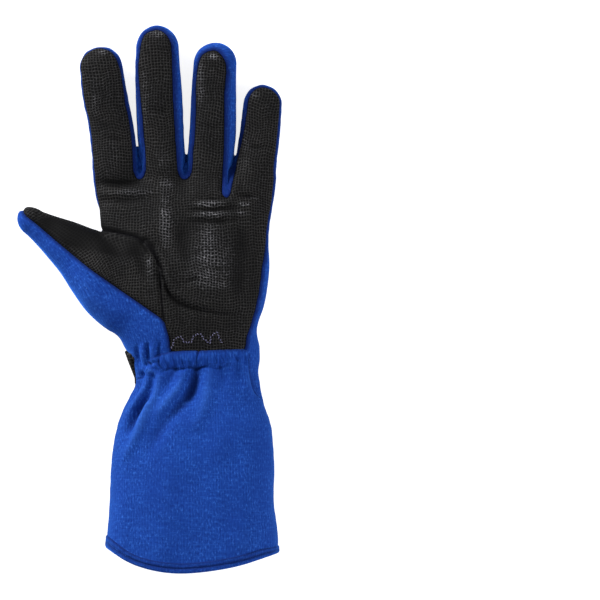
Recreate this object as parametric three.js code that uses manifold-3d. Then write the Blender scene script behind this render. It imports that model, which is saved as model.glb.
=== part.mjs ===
// A left-hand racing glove with a long gauntlet cuff, lying palm up on its back.
// Millimetres: +Y runs from the cuff to the fingertips, +X to the little finger, +Z up.
// The glove is one hollow form, worked out from the section tables below, that is then cut
// along its seams into the panels that it is sewn from.
import * as THREE from "three";
import Module from "manifold-3d";

const wasm = await Module();
wasm.setup();

// Driving sizes
const CLOTH = 2.0;
const SEAM_GAP = 0.35;
const SKY = 90;
const STRAP_THICK = 1.6;
const STRAP_CLEAR = 0.4;
const HEM_TALL = 6.0;
const HEM_PROUD = 0.8;
const CASING_WIDE = 9.6;
const CASING_PUFF = 1.5;
const GATHER_PITCH = 7.2;
const GATHER_DEEP = 1.3;
const CASING_SUNK = 0.3;

// Every section is a superellipse that is pressed flat where it lies on the floor.
const ROUNDNESS = 2.3;
const MIDDLE_SHARE = 0.47;
const PRESS = 1.3;
const DIGIT_SIDES = 14;
const BODY_SIDES = 46;
const WRIST_SIDES = 96;
const INNER_DIGIT_SIDES = 8;
const INNER_BODY_SIDES = 20;

const COLOURS = {
  knit: { color: 0x21459a, roughness: 0.92, metalness: 0.0 },
  grip: { color: 0x232325, roughness: 0.55, metalness: 0.0 },
};

// Digits: centre line in plan, half width, lowest and highest point, from root to tip.
// cut = how far the black palm stays inside the outline: thumb side, little side and tip,
// and at the root where that is less.
const DIGITS = [
  {
    name: "index",
    dome: 12.0,
    cut: { near: 1.4, far: 2.7, tip: 1.6 },
    rows: [
      { x: -18.5, y: 64.0, half: 13.0, base: 0.6, top: 18.0 },
      { x: -20.0, y: 78.0, half: 13.6, base: 0.2, top: 21.0 },
      { x: -23.4, y: 105.0, half: 13.3, base: 0.4, top: 19.5 },
      { x: -27.2, y: 124.0, half: 13.3, base: 1.4, top: 19.5 },
      { x: -29.2, y: 139.2, half: 12.7, base: 3.0, top: 19.5 },
    ],
  },
  {
    name: "middle",
    dome: 14.0,
    cut: { near: 2.5, far: 4.9, tip: 3.0 },
    rows: [
      { x: 9.0, y: 64.0, half: 13.0, base: 0.6, top: 18.0 },
      { x: 8.0, y: 78.0, half: 13.6, base: 0.2, top: 21.5 },
      { x: 6.6, y: 100.0, half: 14.0, base: 0.3, top: 20.0 },
      { x: 5.4, y: 125.0, half: 13.8, base: 1.2, top: 20.0 },
      { x: 4.7, y: 150.4, half: 12.7, base: 3.6, top: 20.0 },
    ],
  },
  {
    name: "ring",
    dome: 13.2,
    cut: { near: 2.9, far: 6.4, tip: 4.6, rootFar: 3.4 },
    rows: [
      { x: 33.6, y: 62.0, half: 12.4, base: 0.6, top: 18.0 },
      { x: 35.4, y: 76.0, half: 13.2, base: 0.2, top: 21.5 },
      { x: 37.6, y: 96.0, half: 14.0, base: 0.3, top: 20.0 },
      { x: 38.5, y: 118.0, half: 13.6, base: 1.0, top: 19.5 },
      { x: 39.3, y: 141.0, half: 12.9, base: 3.2, top: 19.5 },
    ],
  },
  {
    name: "little",
    dome: 11.8,
    cut: { near: 2.7, far: 0.9, tip: 1.8, rootNear: 1.6 },
    rows: [
      { x: 59.6, y: 56.0, half: 12.0, base: 0.6, top: 18.0 },
      { x: 62.0, y: 70.0, half: 12.5, base: 0.2, top: 20.5 },
      { x: 64.0, y: 84.0, half: 12.2, base: 0.3, top: 18.5 },
      { x: 66.2, y: 100.0, half: 11.9, base: 1.0, top: 17.5 },
      { x: 67.8, y: 116.6, half: 11.5, base: 2.8, top: 17.5 },
    ],
  },
];

const THUMB = {
  name: "thumb",
  dome: 10.6,
  rows: [
    { x: -1.0, y: -7.0, half: 20.0, base: 1.2, top: 31.0 },
    { x: -10.0, y: 0.6, half: 24.3, base: 0.5, top: 34.0 },
    { x: -22.5, y: 10.8, half: 24.0, base: 0.2, top: 33.5 },
    { x: -34.5, y: 21.0, half: 20.2, base: 0.2, top: 30.5 },
    { x: -44.1, y: 29.1, half: 16.2, base: 0.6, top: 26.5 },
    { x: -52.8, y: 35.4, half: 13.4, base: 1.6, top: 24.0 },
    { x: -65.1, y: 43.2, half: 9.4, base: 3.4, top: 20.5 },
    { x: -69.6, y: 46.0, half: 8.2, base: 4.0, top: 19.0 },
  ],
};

// Hand, wrist and gauntlet: left and right outline, lowest and highest point.
const BODY = [
  { y: 81.6, left: -33.6, right: 75.0, base: 0.0, top: 7.0 },
  { y: 74.0, left: -32.4, right: 74.6, base: 0.0, top: 17.5 },
  { y: 65.4, left: -31.0, right: 74.0, base: 0.0, top: 24.0 },
  { y: 51.0, left: -29.5, right: 72.6, base: 0.0, top: 29.0 },
  { y: 35.4, left: -27.9, right: 71.2, base: 0.0, top: 32.5 },
  { y: 18.0, left: -25.5, right: 71.8, base: 0.0, top: 36.5 },
  { y: -2.0, left: -22.4, right: 69.2, base: 0.0, top: 38.5 },
  { y: -17.4, left: -20.0, right: 64.6, base: 0.6, top: 37.5 },
  { y: -29.0, left: -14.8, right: 66.0, base: 2.0, top: 35.2 },
  { y: -36.0, left: -10.8, right: 66.2, base: 2.0, top: 34.2 },
  { y: -44.0, left: -9.0, right: 65.3, base: 2.0, top: 34.6 },
  { y: -51.0, left: -8.4, right: 66.4, base: 2.0, top: 35.8 },
  { y: -57.0, left: -10.8, right: 67.3, base: 2.0, top: 37.4 },
  { y: -66.0, left: -15.4, right: 69.2, base: 0.4, top: 40.8 },
  { y: -78.0, left: -19.6, right: 73.0, base: 0.0, top: 45.0 },
  { y: -95.0, left: -22.4, right: 74.5, base: 0.0, top: 48.8 },
  { y: -122.0, left: -23.8, right: 74.8, base: 0.0, top: 52.3 },
  { y: -145.0, left: -25.6, right: 77.0, base: 0.0, top: 54.0 },
  { y: -166.0, left: -26.0, right: 77.4, base: 0.0, top: 54.5 },
];
const MOUTH_BEYOND = 12;
const CAVITY_BEYOND = 22;

// Ridges of loose cloth that run down the gauntlet from the elastic: where each starts and
// ends, how high it stands (a dent is negative), how wide it is.
const FOLDS = [
  { fromX: 3.0, fromY: -47.0, toX: -15.0, toY: -98.0, rise: 4.2, wide: 5.0 },
  { fromX: -5.0, fromY: -50.0, toX: -15.0, toY: -76.0, rise: 3.0, wide: 4.0 },
  { fromX: 12.0, fromY: -44.0, toX: -4.0, toY: -92.0, rise: -3.0, wide: 5.5 },
  { fromX: 29.5, fromY: -40.0, toX: 16.0, toY: -68.0, rise: -3.6, wide: 5.0 },
  { fromX: 40.0, fromY: -42.0, toX: 36.0, toY: -76.0, rise: 2.2, wide: 6.5 },
  { fromX: 53.0, fromY: -42.0, toX: 62.0, toY: -80.0, rise: -2.4, wide: 5.5 },
];

// Dents pressed into the palm: the fold round the thumb and the two creases under the fingers.
const CREASES = [
  { fromX: 5.0, fromY: 27.0, toX: 13.0, toY: 3.0, rise: -2.0, wide: 4.0 },
  { fromX: 13.0, fromY: 3.0, toX: 32.0, toY: -8.0, rise: -1.6, wide: 4.0 },
  { fromX: 24.0, fromY: 53.5, toX: 62.0, toY: 52.0, rise: -1.4, wide: 3.0 },
  { fromX: -26.0, fromY: 63.0, toX: 6.0, toY: 64.0, rise: -1.4, wide: 4.0 },
];

// Seams in plan
const PALM_THUMB_SEAM = [
  [12.9, -31.0],
  [9.4, -14.0],
  [7.2, 3.6],
  [5.4, 20.4],
  [-1.0, 32.0],
  [-11.0, 38.4],
  [-31.0, 41.0],
];
const THUMB_EDGE_SEAM = [
  [12.9, -31.0],
  [7.0, -13.0],
  [0.3, -7.2],
  [-19.5, 6.6],
  [-35.7, 18.0],
  [-51.3, 30.6],
  [-69.3, 45.6],
  [-84.0, 54.0],
];
const CASING_LINE = [
  [59.7, -32.6],
  [33.0, -35.4],
  [7.0, -36.2],
  [-0.5, -40.5],
  [-5.0, -45.5],
];
const BACK_THUMB_SEAM = [
  [-27.6, 46.0],
  [-28.5, 34.0],
  [-28.5, -4.0],
  [-26.5, -15.0],
  [-20.0, -24.0],
  [-14.0, -29.0],
];
const RIGHT_SIDE_SEAM = [
  [59.7, -28.0],
  [59.3, -38.0],
  [62.2, -49.0],
  [66.0, -59.0],
  [82.0, -72.0],
];
const HEM_LINE = [
  [-40.0, -140.0],
  [-26.0, -149.0],
  [-8.0, -159.4],
  [17.0, -164.0],
  [48.0, -160.8],
  [76.0, -152.6],
  [92.0, -146.0],
];

// Right edge of the black palm: how far it stays inside the hand's outline.
const PALM_EDGE = [
  { y: 74.0, inset: 1.2 },
  { y: 46.0, inset: 2.0 },
  { y: 24.0, inset: 3.6 },
  { y: -7.0, inset: 3.6 },
  { y: -20.0, inset: 5.0 },
  { y: -28.2, inset: 8.0 },
];
const PALM_LEFT_INSET = 1.4;
const PALM_LEFT_ROWS = { from: 44, to: 70 };
const ROOT_ROWS = 2;
const TIP_STEPS = 6;
const TIP_FULLNESS = 0.9;

// Corners that close the cutters' outlines outside the glove
const HEM_CORNERS = [
  [120, 200],
  [-120, 200],
];
const THUMB_CORNERS = [
  [-84, 80],
  [-36, 80],
];
const GAUNTLET_CORNERS = [
  [120, -72],
  [120, -190],
  [-60, -190],
  [-60, -56],
  [-14, -49],
];
const GUSSET_CORNERS = [
  [-100, 60],
  [-100, -56],
  [-14, -49],
  [-5, -45.5],
  [7, -36.2],
];
const BACK_THUMB_CORNERS = [
  [-100, -29],
  [-100, 60],
  [-40, 60],
];

// Gaps between the fingers: where the blue side walls end in the palm.
const FINGER_GAPS = [
  { name: "fourchette_index_middle", near: 0, far: 1, footX: -5.9, foot: 72.9, head: 152.0 },
  { name: "fourchette_middle_ring", near: 1, far: 2, footX: 20.9, foot: 72.9, head: 154.0 },
  { name: "fourchette_ring_little", near: 2, far: 3, footX: 46.4, foot: 61.5, head: 140.0 },
];
const GAP_FOOT_HALF = 3.4;
const GAP_FOOT_ROUND = 2.6;

// Heights of the seams along the sides
const UNDER_FLOOR = -5;
const FINGER_PALM_SEAM = 7.6;
const FINGER_BACK_SEAM = 5.5;
const HAND_PALM_SEAM = 14.5;
const THUMB_PALM_SEAM = 6.5;
const GUSSET_SEAM = 12.0;
const GAUNTLET_SEAM = 20.0;

const lerp = (a, b, t) => a + (b - a) * t;
const clamp = (v, low, high) => Math.min(high, Math.max(low, v));
const signedPower = (v, p) => Math.sign(v) * Math.abs(v) ** p;

// Six times the volume inside a skin, negative where its faces point inwards
function volumeInside(points, faces) {
  return faces.reduce((sum, [a, b, c]) => {
    const [p, q, r] = [points[a], points[b], points[c]];
    const cross = [q[1] * r[2] - q[2] * r[1], q[2] * r[0] - q[0] * r[2], q[0] * r[1] - q[1] * r[0]];
    return sum + p[0] * cross[0] + p[1] * cross[1] + p[2] * cross[2];
  }, 0);
}

// Solids: a closed skin of points and faces turned into a solid, and back into a mesh.
function solidOf(points, faces) {
  const outward = volumeInside(points, faces) > 0;
  const turned = outward ? faces : faces.map(([a, b, c]) => [a, c, b]);
  const vertProperties = new Float32Array(points.flat());
  const triVerts = new Uint32Array(turned.flat());
  return new wasm.Manifold(new wasm.Mesh({ numProp: 3, vertProperties, triVerts }));
}

// The faces of the largest connected skin; crumbs left where two seams cross are dropped.
function mainBody(triVerts) {
  const owner = new Map();
  const find = (v) => {
    let top = v;
    while (owner.has(top) && owner.get(top) !== top) {
      top = owner.get(top);
    }
    return top;
  };
  for (let i = 0; i < triVerts.length; i += 3) {
    const top = find(triVerts[i]);
    owner.set(top, top);
    owner.set(find(triVerts[i + 1]), top);
    owner.set(find(triVerts[i + 2]), top);
  }
  const bodies = new Map();
  for (let i = 0; i < triVerts.length; i += 3) {
    const top = find(triVerts[i]);
    bodies.set(top, [...(bodies.get(top) ?? []), triVerts[i], triVerts[i + 1], triVerts[i + 2]]);
  }
  return [...bodies.values()].sort((a, b) => b.length - a.length)[0];
}

function meshOf(name, solid, finish) {
  const { vertProperties, triVerts } = solid.getMesh();
  const geometry = new THREE.BufferGeometry();
  geometry.setAttribute("position", new THREE.BufferAttribute(vertProperties, 3));
  geometry.setIndex(mainBody(triVerts));
  geometry.computeVertexNormals();
  const mesh = new THREE.Mesh(geometry, new THREE.MeshStandardMaterial(COLOURS[finish]));
  mesh.name = name;
  return mesh;
}

// Rings of equal length joined one to the next, with a fan over each end.
function loft(rings) {
  const sides = rings[0].length;
  const points = rings.flat();
  const faces = [];
  for (let r = 0; r + 1 < rings.length; r += 1) {
    for (let k = 0; k < sides; k += 1) {
      const next = (k + 1) % sides;
      const a = r * sides + k;
      const b = r * sides + next;
      const c = a + sides;
      const d = b + sides;
      faces.push([a, c, b], [b, c, d]);
    }
  }
  const middle = (ring) => [0, 1, 2].map((i) => ring.reduce((s, p) => s + p[i], 0) / sides);
  const first = points.push(middle(rings[0])) - 1;
  const last = points.push(middle(rings[rings.length - 1])) - 1;
  const end = (rings.length - 1) * sides;
  for (let k = 0; k < sides; k += 1) {
    const next = (k + 1) % sides;
    faces.push([first, k, next], [last, end + next, end + k]);
  }
  return solidOf(points, faces);
}

// One point of a section: across is the side step, up the height, at a turn of 0 to 1.
function sectionPoint({ half, base, top }, turn) {
  const angle = turn * 2 * Math.PI;
  const middle = lerp(base, top, MIDDLE_SHARE);
  const across = half * signedPower(Math.cos(angle), 2 / ROUNDNESS);
  const rise = signedPower(Math.sin(angle), 2 / ROUNDNESS);
  const up = rise > 0 ? lerp(middle, top, rise) : Math.max(base, middle + (middle - base) * PRESS * rise);
  return { across, up };
}

function shrink(section, wall) {
  return { ...section, half: section.half - wall, base: section.base + wall, top: section.top - wall };
}

// A digit: sections square to its centre line, closed by a dome at the tip.
const DOME_STEPS = [0.5, 0.83, 0.98];

function digitRings(digit, wall, sides) {
  const rows = [...digit.rows];
  const [before, end] = rows.slice(-2);
  const reach = Math.hypot(end.x - before.x, end.y - before.y);
  const heading = { x: (end.x - before.x) / reach, y: (end.y - before.y) / reach };
  const middle = lerp(end.base, end.top, MIDDLE_SHARE);
  for (const t of DOME_STEPS) {
    const left = Math.sqrt(1 - t * t);
    rows.push({
      x: end.x + heading.x * (digit.dome - wall) * t,
      y: end.y + heading.y * (digit.dome - wall) * t,
      half: (end.half - wall) * left + wall,
      base: middle - (middle - end.base - wall) * left - wall,
      top: middle + (end.top - middle - wall) * left + wall,
    });
  }
  return rows.map((row, i) => {
    const a = rows[Math.max(0, i - 1)];
    const b = rows[Math.min(rows.length - 1, i + 1)];
    const length = Math.hypot(b.x - a.x, b.y - a.y);
    const side = { x: (b.y - a.y) / length, y: -(b.x - a.x) / length };
    const section = shrink(row, wall);
    return Array.from({ length: sides }, (_, k) => {
      const { across, up } = sectionPoint(section, (k + 0.5) / sides);
      return [row.x + side.x * across, row.y + side.y * across, up];
    });
  });
}

// The body's section at any y, straight between the table's rows.
function bodyAt(y) {
  const last = BODY.length - 2;
  const i = clamp(BODY.findIndex((row) => row.y < y) - 1, 0, last);
  const index = y <= BODY[BODY.length - 1].y ? last : i;
  const [a, b] = [BODY[index], BODY[index + 1]];
  const t = (a.y - y) / (a.y - b.y);
  const left = lerp(a.left, b.left, t);
  const right = lerp(a.right, b.right, t);
  const section = { half: (right - left) / 2, base: lerp(a.base, b.base, t), top: lerp(a.top, b.top, t) };
  return { ...section, centre: (left + right) / 2 };
}

// Height added by a fold at a point in plan: a bell across its line that fades at both ends.
function foldHeight(fold, x, y) {
  const run = { x: fold.toX - fold.fromX, y: fold.toY - fold.fromY };
  const length = Math.hypot(run.x, run.y);
  const along = ((x - fold.fromX) * run.x + (y - fold.fromY) * run.y) / length ** 2;
  const across = ((x - fold.fromX) * run.y - (y - fold.fromY) * run.x) / length;
  const fade = Math.sin(Math.PI * clamp(0.12 + along * 0.88, 0, 1));
  return fold.rise * fade * Math.exp(-((across / fold.wide) ** 2));
}

const relief = (x, y) => [...FOLDS, ...CREASES].reduce((sum, fold) => sum + foldHeight(fold, x, y), 0);

// How much of a section point looks up, so that relief stays off the underside.
const upward = (turn) => clamp(Math.sin(turn * 2 * Math.PI) * 2.2, 0, 1);

function bodyRing(row, wall, sides, raise) {
  const section = shrink(row, wall);
  return Array.from({ length: sides }, (_, k) => {
    const turn = (k + 0.5) / sides;
    const { across, up } = sectionPoint(section, turn);
    const x = row.centre + across;
    return [x, row.y, up + raise(x, row.y) * upward(turn)];
  });
}

function bodySolid(wall, sides, extra, raise) {
  const rows = BODY.map(({ y }) => ({ y, ...bodyAt(y) }));
  rows[0].y -= wall;
  rows[rows.length - 1].y -= extra;
  return loft(rows.map((row) => bodyRing(row, wall, sides, raise)));
}

// The distance from a point to a line of points in plan, and how far along it lies.
function alongLine(line, x, y) {
  let best = { gap: Infinity, at: 0 };
  let travelled = 0;
  for (let i = 0; i + 1 < line.length; i += 1) {
    const [ax, ay] = line[i];
    const [bx, by] = line[i + 1];
    const length = Math.hypot(bx - ax, by - ay);
    const t = clamp(((x - ax) * (bx - ax) + (y - ay) * (by - ay)) / length ** 2, 0, 1);
    const gap = Math.hypot(x - lerp(ax, bx, t), y - lerp(ay, by, t));
    if (gap < best.gap) {
      best = { gap, at: travelled + t * length };
    }
    travelled += length;
  }
  return best;
}

// The elastic casing stands up as a round channel that is drawn into even gathers.
function casingHeight(x, y) {
  const { gap, at } = alongLine(CASING_LINE, x, y);
  const round = Math.sqrt(Math.max(0, 1 - (gap / (CASING_WIDE / 2)) ** 2));
  const wave = Math.cos((2 * Math.PI * at) / GATHER_PITCH);
  return round * (CASING_PUFF + GATHER_DEEP * wave) - CASING_SUNK;
}

const smoothLine = (points, steps) => {
  const vectors = points.map(([x, y]) => new THREE.Vector3(x, y, 0));
  const curve = new THREE.CatmullRomCurve3(vectors, false, "centripetal");
  return curve.getPoints(steps).map((p) => [p.x, p.y]);
};

// A closed outline moved outwards by d, and raised into a block between two heights.
function grow(outline, d) {
  const turned = THREE.ShapeUtils.area(outline.map(([x, y]) => new THREE.Vector2(x, y))) > 0 ? 1 : -1;
  return outline.map(([x, y], i) => {
    const before = outline[(i + outline.length - 1) % outline.length];
    const after = outline[(i + 1) % outline.length];
    const a = new THREE.Vector2(x - before[0], y - before[1]).normalize();
    const b = new THREE.Vector2(after[0] - x, after[1] - y).normalize();
    const out = new THREE.Vector2(a.y + b.y, -(a.x + b.x)).normalize();
    const stretch = 1 / Math.max(0.5, out.dot(new THREE.Vector2(a.y, -a.x)));
    return [x + out.x * d * turned * stretch, y + out.y * d * turned * stretch];
  });
}

function block(outline, low, high) {
  const contour = outline.map(([x, y]) => new THREE.Vector2(x, y));
  if (THREE.ShapeUtils.area(contour) < 0) {
    contour.reverse();
  }
  const count = contour.length;
  const points = [low, high].flatMap((z) => contour.map((p) => [p.x, p.y, z]));
  const faces = [];
  for (const [a, b, c] of THREE.ShapeUtils.triangulateShape(contour, [])) {
    faces.push([a, c, b], [a + count, b + count, c + count]);
  }
  for (let k = 0; k < count; k += 1) {
    const next = (k + 1) % count;
    faces.push([k, next, next + count], [k, next + count, k + count]);
  }
  return solidOf(points, faces);
}

// A cutter is a list of blocks; it comes in a full size and one that is smaller all round.
function cutter(parts) {
  const sized = (d) =>
    parts
      .map(({ outline, low, high = SKY }) => block(grow(outline, d), low - d, high))
      .reduce((a, b) => a.add(b));
  return { full: sized(SEAM_GAP / 2), small: sized(-SEAM_GAP / 2) };
}

// The black strip over one finger: its own outline, drawn in by the table's amounts.
function fingerStrip({ rows, dome, cut }) {
  const end = rows[rows.length - 1];
  const atRoot = (i, root, along) => (i < ROOT_ROWS ? root ?? along : along);
  const near = rows.map((row, i) => [row.x - row.half + atRoot(i, cut.rootNear, cut.near), row.y]);
  const far = rows.map((row, i) => [row.x + row.half - atRoot(i, cut.rootFar, cut.far), row.y]);
  const left = near[near.length - 1][0];
  const right = far[far.length - 1][0];
  const arc = [];
  for (let k = 1; k < TIP_STEPS; k += 1) {
    const angle = Math.PI * (1 - k / TIP_STEPS);
    const rise = Math.sin(angle) ** TIP_FULLNESS;
    arc.push([lerp(left, right, 0.5 + 0.5 * Math.cos(angle)), end.y + (dome - cut.tip) * rise]);
  }
  return [...near, ...arc, ...far.reverse()];
}

function palmOutline() {
  const { from, to } = PALM_LEFT_ROWS;
  const left = BODY.filter(({ y }) => y > from && y < to).map((row) => [row.left + PALM_LEFT_INSET, row.y]);
  const right = PALM_EDGE.map(({ y, inset }) => {
    const section = bodyAt(y);
    return [section.centre + section.half - inset, y];
  });
  const gapFeet = FINGER_GAPS.flatMap(({ footX, foot }) => [
    [footX - GAP_FOOT_HALF, foot + GAP_FOOT_ROUND],
    [footX, foot],
    [footX + GAP_FOOT_HALF, foot + GAP_FOOT_ROUND],
  ]);
  const seam = smoothLine(PALM_THUMB_SEAM, 10);
  return [...seam, ...left.reverse(), ...gapFeet, ...right];
}

// Region between the centre lines of two neighbouring fingers
function gapOutline({ near, far, head }) {
  const side = (digit) => digit.rows.filter((row) => row.y < head).map((row) => [row.x, row.y]);
  const left = side(DIGITS[near]);
  const right = side(DIGITS[far]);
  return [...left, ...right.reverse()];
}

function stripOutline(line, wide) {
  const smooth = smoothLine(line, 12);
  const side = (sign) =>
    smooth.map(([x, y], i) => {
      const a = smooth[Math.max(0, i - 1)];
      const b = smooth[Math.min(smooth.length - 1, i + 1)];
      const length = Math.hypot(b[0] - a[0], b[1] - a[1]);
      const step = (sign * wide) / 2 / length;
      return [x - (b[1] - a[1]) * step, y + (b[0] - a[0]) * step];
    });
  return [...side(1), ...side(-1).reverse()];
}

// Hem height at x, on the curve through the hem's points
const HEM_MIDDLE = -155;
const hemCurve = smoothLine(HEM_LINE, 20);

function hemAt(x) {
  const i = clamp(hemCurve.findIndex((p) => p[0] > x) - 1, 0, hemCurve.length - 2);
  const [a, b] = [hemCurve[i], hemCurve[i + 1]];
  return lerp(a[1], b[1], (x - a[0]) / (b[0] - a[0]));
}

// Hem binding: a rounded profile carried round the mouth, flat where it touches the floor.
function hemBinding() {
  const middle = bodyAt(HEM_MIDDLE);
  const profile = [
    { out: HEM_PROUD * 0.6, up: HEM_TALL },
    { out: HEM_PROUD, up: HEM_TALL * 0.55 },
    { out: HEM_PROUD * 0.7, up: HEM_TALL * 0.12 },
    { out: -CLOTH / 2, up: 0 },
    { out: -CLOTH - HEM_PROUD * 0.7, up: HEM_TALL * 0.12 },
    { out: -CLOTH - HEM_PROUD, up: HEM_TALL * 0.55 },
    { out: -CLOTH - HEM_PROUD * 0.6, up: HEM_TALL },
  ];
  const count = profile.length;
  const sides = BODY_SIDES;
  const points = [];
  for (let k = 0; k < sides; k += 1) {
    const turn = (k + 0.5) / sides;
    const rough = middle.centre + sectionPoint(middle, turn).across;
    for (const { out, up } of profile) {
      const section = bodyAt(hemAt(rough) + up);
      const spot = sectionPoint(shrink(section, -out), turn);
      const x = section.centre + spot.across;
      const lowest = out > -CLOTH / 2 ? 0 : -out;
      points.push([x, hemAt(x) + up, Math.max(lowest, spot.up)]);
    }
  }
  const faces = [];
  for (let k = 0; k < sides; k += 1) {
    for (let j = 0; j < count; j += 1) {
      const a = k * count + j;
      const b = k * count + ((j + 1) % count);
      const c = ((k + 1) % sides) * count + j;
      const d = ((k + 1) % sides) * count + ((j + 1) % count);
      faces.push([a, b, c], [b, d, c]);
    }
  }
  return solidOf(points, faces);
}

// Wrist strap: sewn in at the thumb side, round the back of the wrist, with a round free end.
const STRAP = {
  upper: -30.8,
  lower: -55.8,
  fromTurn: 0.452,
  toTurn: 0.955,
  steps: 24,
  across: 5,
  endLong: 9,
  halfTurnLong: 74,
  bulgeUpper: 1.2,
  bulgeLower: 0.2,
  bulgeTurns: 0.1,
};

function strapPoint(turn, y, away) {
  const section = bodyAt(y);
  const here = sectionPoint(section, turn);
  const step = 0.004;
  const a = sectionPoint(section, turn - step);
  const b = sectionPoint(section, turn + step);
  const tilt = { x: b.across - a.across, z: b.up - a.up };
  const length = Math.hypot(tilt.x, tilt.z);
  const share = (STRAP.upper - y) / (STRAP.upper - STRAP.lower);
  const bulge = lerp(STRAP.bulgeUpper, STRAP.bulgeLower, share);
  const near = Math.exp(-(((turn - 0.5) / STRAP.bulgeTurns) ** 2));
  const out = away + bulge * near;
  return [section.centre + here.across + (tilt.z / length) * out, y, here.up - (tilt.x / length) * out];
}

function wristStrap() {
  const { steps, across } = STRAP;
  const span = STRAP.toTurn - STRAP.fromTurn;
  const endTurn = (STRAP.endLong / STRAP.halfTurnLong) * 0.5;
  const points = [];
  for (const away of [STRAP_CLEAR, STRAP_CLEAR + STRAP_THICK]) {
    for (let i = 0; i <= steps; i += 1) {
      const turn = STRAP.fromTurn + (span * i) / steps;
      const into = clamp((turn - (STRAP.toTurn - endTurn)) / endTurn, 0, 1);
      const trim = STRAP.endLong * (1 - Math.sqrt(1 - into ** 2 * 0.98));
      for (let j = 0; j <= across; j += 1) {
        const y = lerp(STRAP.upper - trim, STRAP.lower + trim, j / across);
        const spot = strapPoint(turn, y, away);
        points.push([spot[0], spot[1], Math.max(0, spot[2])]);
      }
    }
  }
  const wide = across + 1;
  const layer = (steps + 1) * wide;
  const faces = [];
  const quad = (a, b, c, d) => faces.push([a, b, c], [a, c, d]);
  for (let i = 0; i < steps; i += 1) {
    for (let j = 0; j < across; j += 1) {
      const a = i * wide + j;
      quad(a, a + 1, a + wide + 1, a + wide);
      quad(a + layer, a + layer + wide, a + layer + wide + 1, a + layer + 1);
    }
    const near = i * wide;
    const far = near + across;
    quad(near, near + wide, near + wide + layer, near + layer);
    quad(far, far + layer, far + layer + wide, far + wide);
  }
  for (let j = 0; j < across; j += 1) {
    const last = steps * wide + j;
    quad(j, j + layer, j + layer + 1, j + 1);
    quad(last, last + 1, last + 1 + layer, last + layer);
  }
  return solidOf(points, faces);
}

// The hollow form
const digits = [...DIGITS, THUMB];
const dentsOnly = (x, y) => Math.min(0, relief(x, y));

function glove(wall, digitSides, body) {
  return digits.map((digit) => loft(digitRings(digit, wall, digitSides))).reduce((a, b) => a.add(b), body);
}

const outer = glove(0, DIGIT_SIDES, bodySolid(0, BODY_SIDES, MOUTH_BEYOND, relief));
const cavity = bodySolid(CLOTH, INNER_BODY_SIDES, CAVITY_BEYOND, dentsOnly);
const inner = glove(CLOTH, INNER_DIGIT_SIDES, cavity);

const aboveHem = block(
  [...hemCurve.map(([x, y]) => [x, y + HEM_TALL + SEAM_GAP]), ...HEM_CORNERS],
  UNDER_FLOOR,
  SKY,
);
const shell = outer.subtract(inner).intersect(aboveHem);

// The wrist again, with more sides, for the gathered casing
const WRIST_ROWS = [-24, -28, -30.5, -33, -35.5, -38, -40.5, -43, -46, -49, -53];
const wristOuter = loft(
  WRIST_ROWS.map((y) => bodyRing({ y, ...bodyAt(y) }, 0, WRIST_SIDES, casingHeight)),
);

const casingStrip = stripOutline(CASING_LINE, CASING_WIDE);
const cutters = {
  casing: cutter([{ outline: casingStrip, low: GAUNTLET_SEAM }]),
  palm: cutter([
    { outline: palmOutline(), low: HAND_PALM_SEAM },
    ...DIGITS.map((digit) => ({ outline: fingerStrip(digit), low: FINGER_PALM_SEAM })),
  ]),
  thumb: cutter([
    {
      outline: [
        ...smoothLine(THUMB_EDGE_SEAM, 9),
        ...THUMB_CORNERS,
        ...smoothLine(PALM_THUMB_SEAM, 10).slice(1).reverse(),
      ],
      low: THUMB_PALM_SEAM,
    },
  ]),
  gauntlet: cutter([
    {
      outline: [
        ...smoothLine(CASING_LINE, 12).reverse(),
        ...smoothLine(RIGHT_SIDE_SEAM, 6).slice(1),
        ...GAUNTLET_CORNERS,
      ],
      low: GAUNTLET_SEAM,
    },
  ]),
  gusset: cutter([
    { outline: [...smoothLine(THUMB_EDGE_SEAM, 9), ...GUSSET_CORNERS], low: GUSSET_SEAM },
    { outline: [...smoothLine(BACK_THUMB_SEAM, 7), ...BACK_THUMB_CORNERS], low: UNDER_FLOOR },
  ]),
};

const group = new THREE.Group();
let rest = shell;

function sew(name, finish, cut, source = rest) {
  group.add(meshOf(name, source.intersect(cut.small), finish));
  rest = rest.subtract(cut.full);
}

sew("elastic_casing", "knit", cutters.casing, wristOuter.subtract(inner));
sew("palm_panel", "grip", cutters.palm);
sew("thumb_palm", "grip", cutters.thumb);
sew("gauntlet_front", "knit", cutters.gauntlet);
sew("thumb_gusset", "knit", cutters.gusset);
for (const gap of FINGER_GAPS) {
  sew(gap.name, "knit", cutter([{ outline: gapOutline(gap), low: FINGER_BACK_SEAM }]));
}
group.add(meshOf("back_panel", rest, "knit"));
group.add(meshOf("hem_binding", hemBinding(), "knit"));
group.add(meshOf("wrist_strap", wristStrap(), "grip"));

export default group;
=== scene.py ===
"""A left-hand racing glove with a long gauntlet cuff, lying palm up on a pale floor.

The cloth is one hollow form, worked out from section tables in millimetres, cut along its
seams into the panels that it is sewn from. Each panel gets its own wall, grain and finish.
"""

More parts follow.
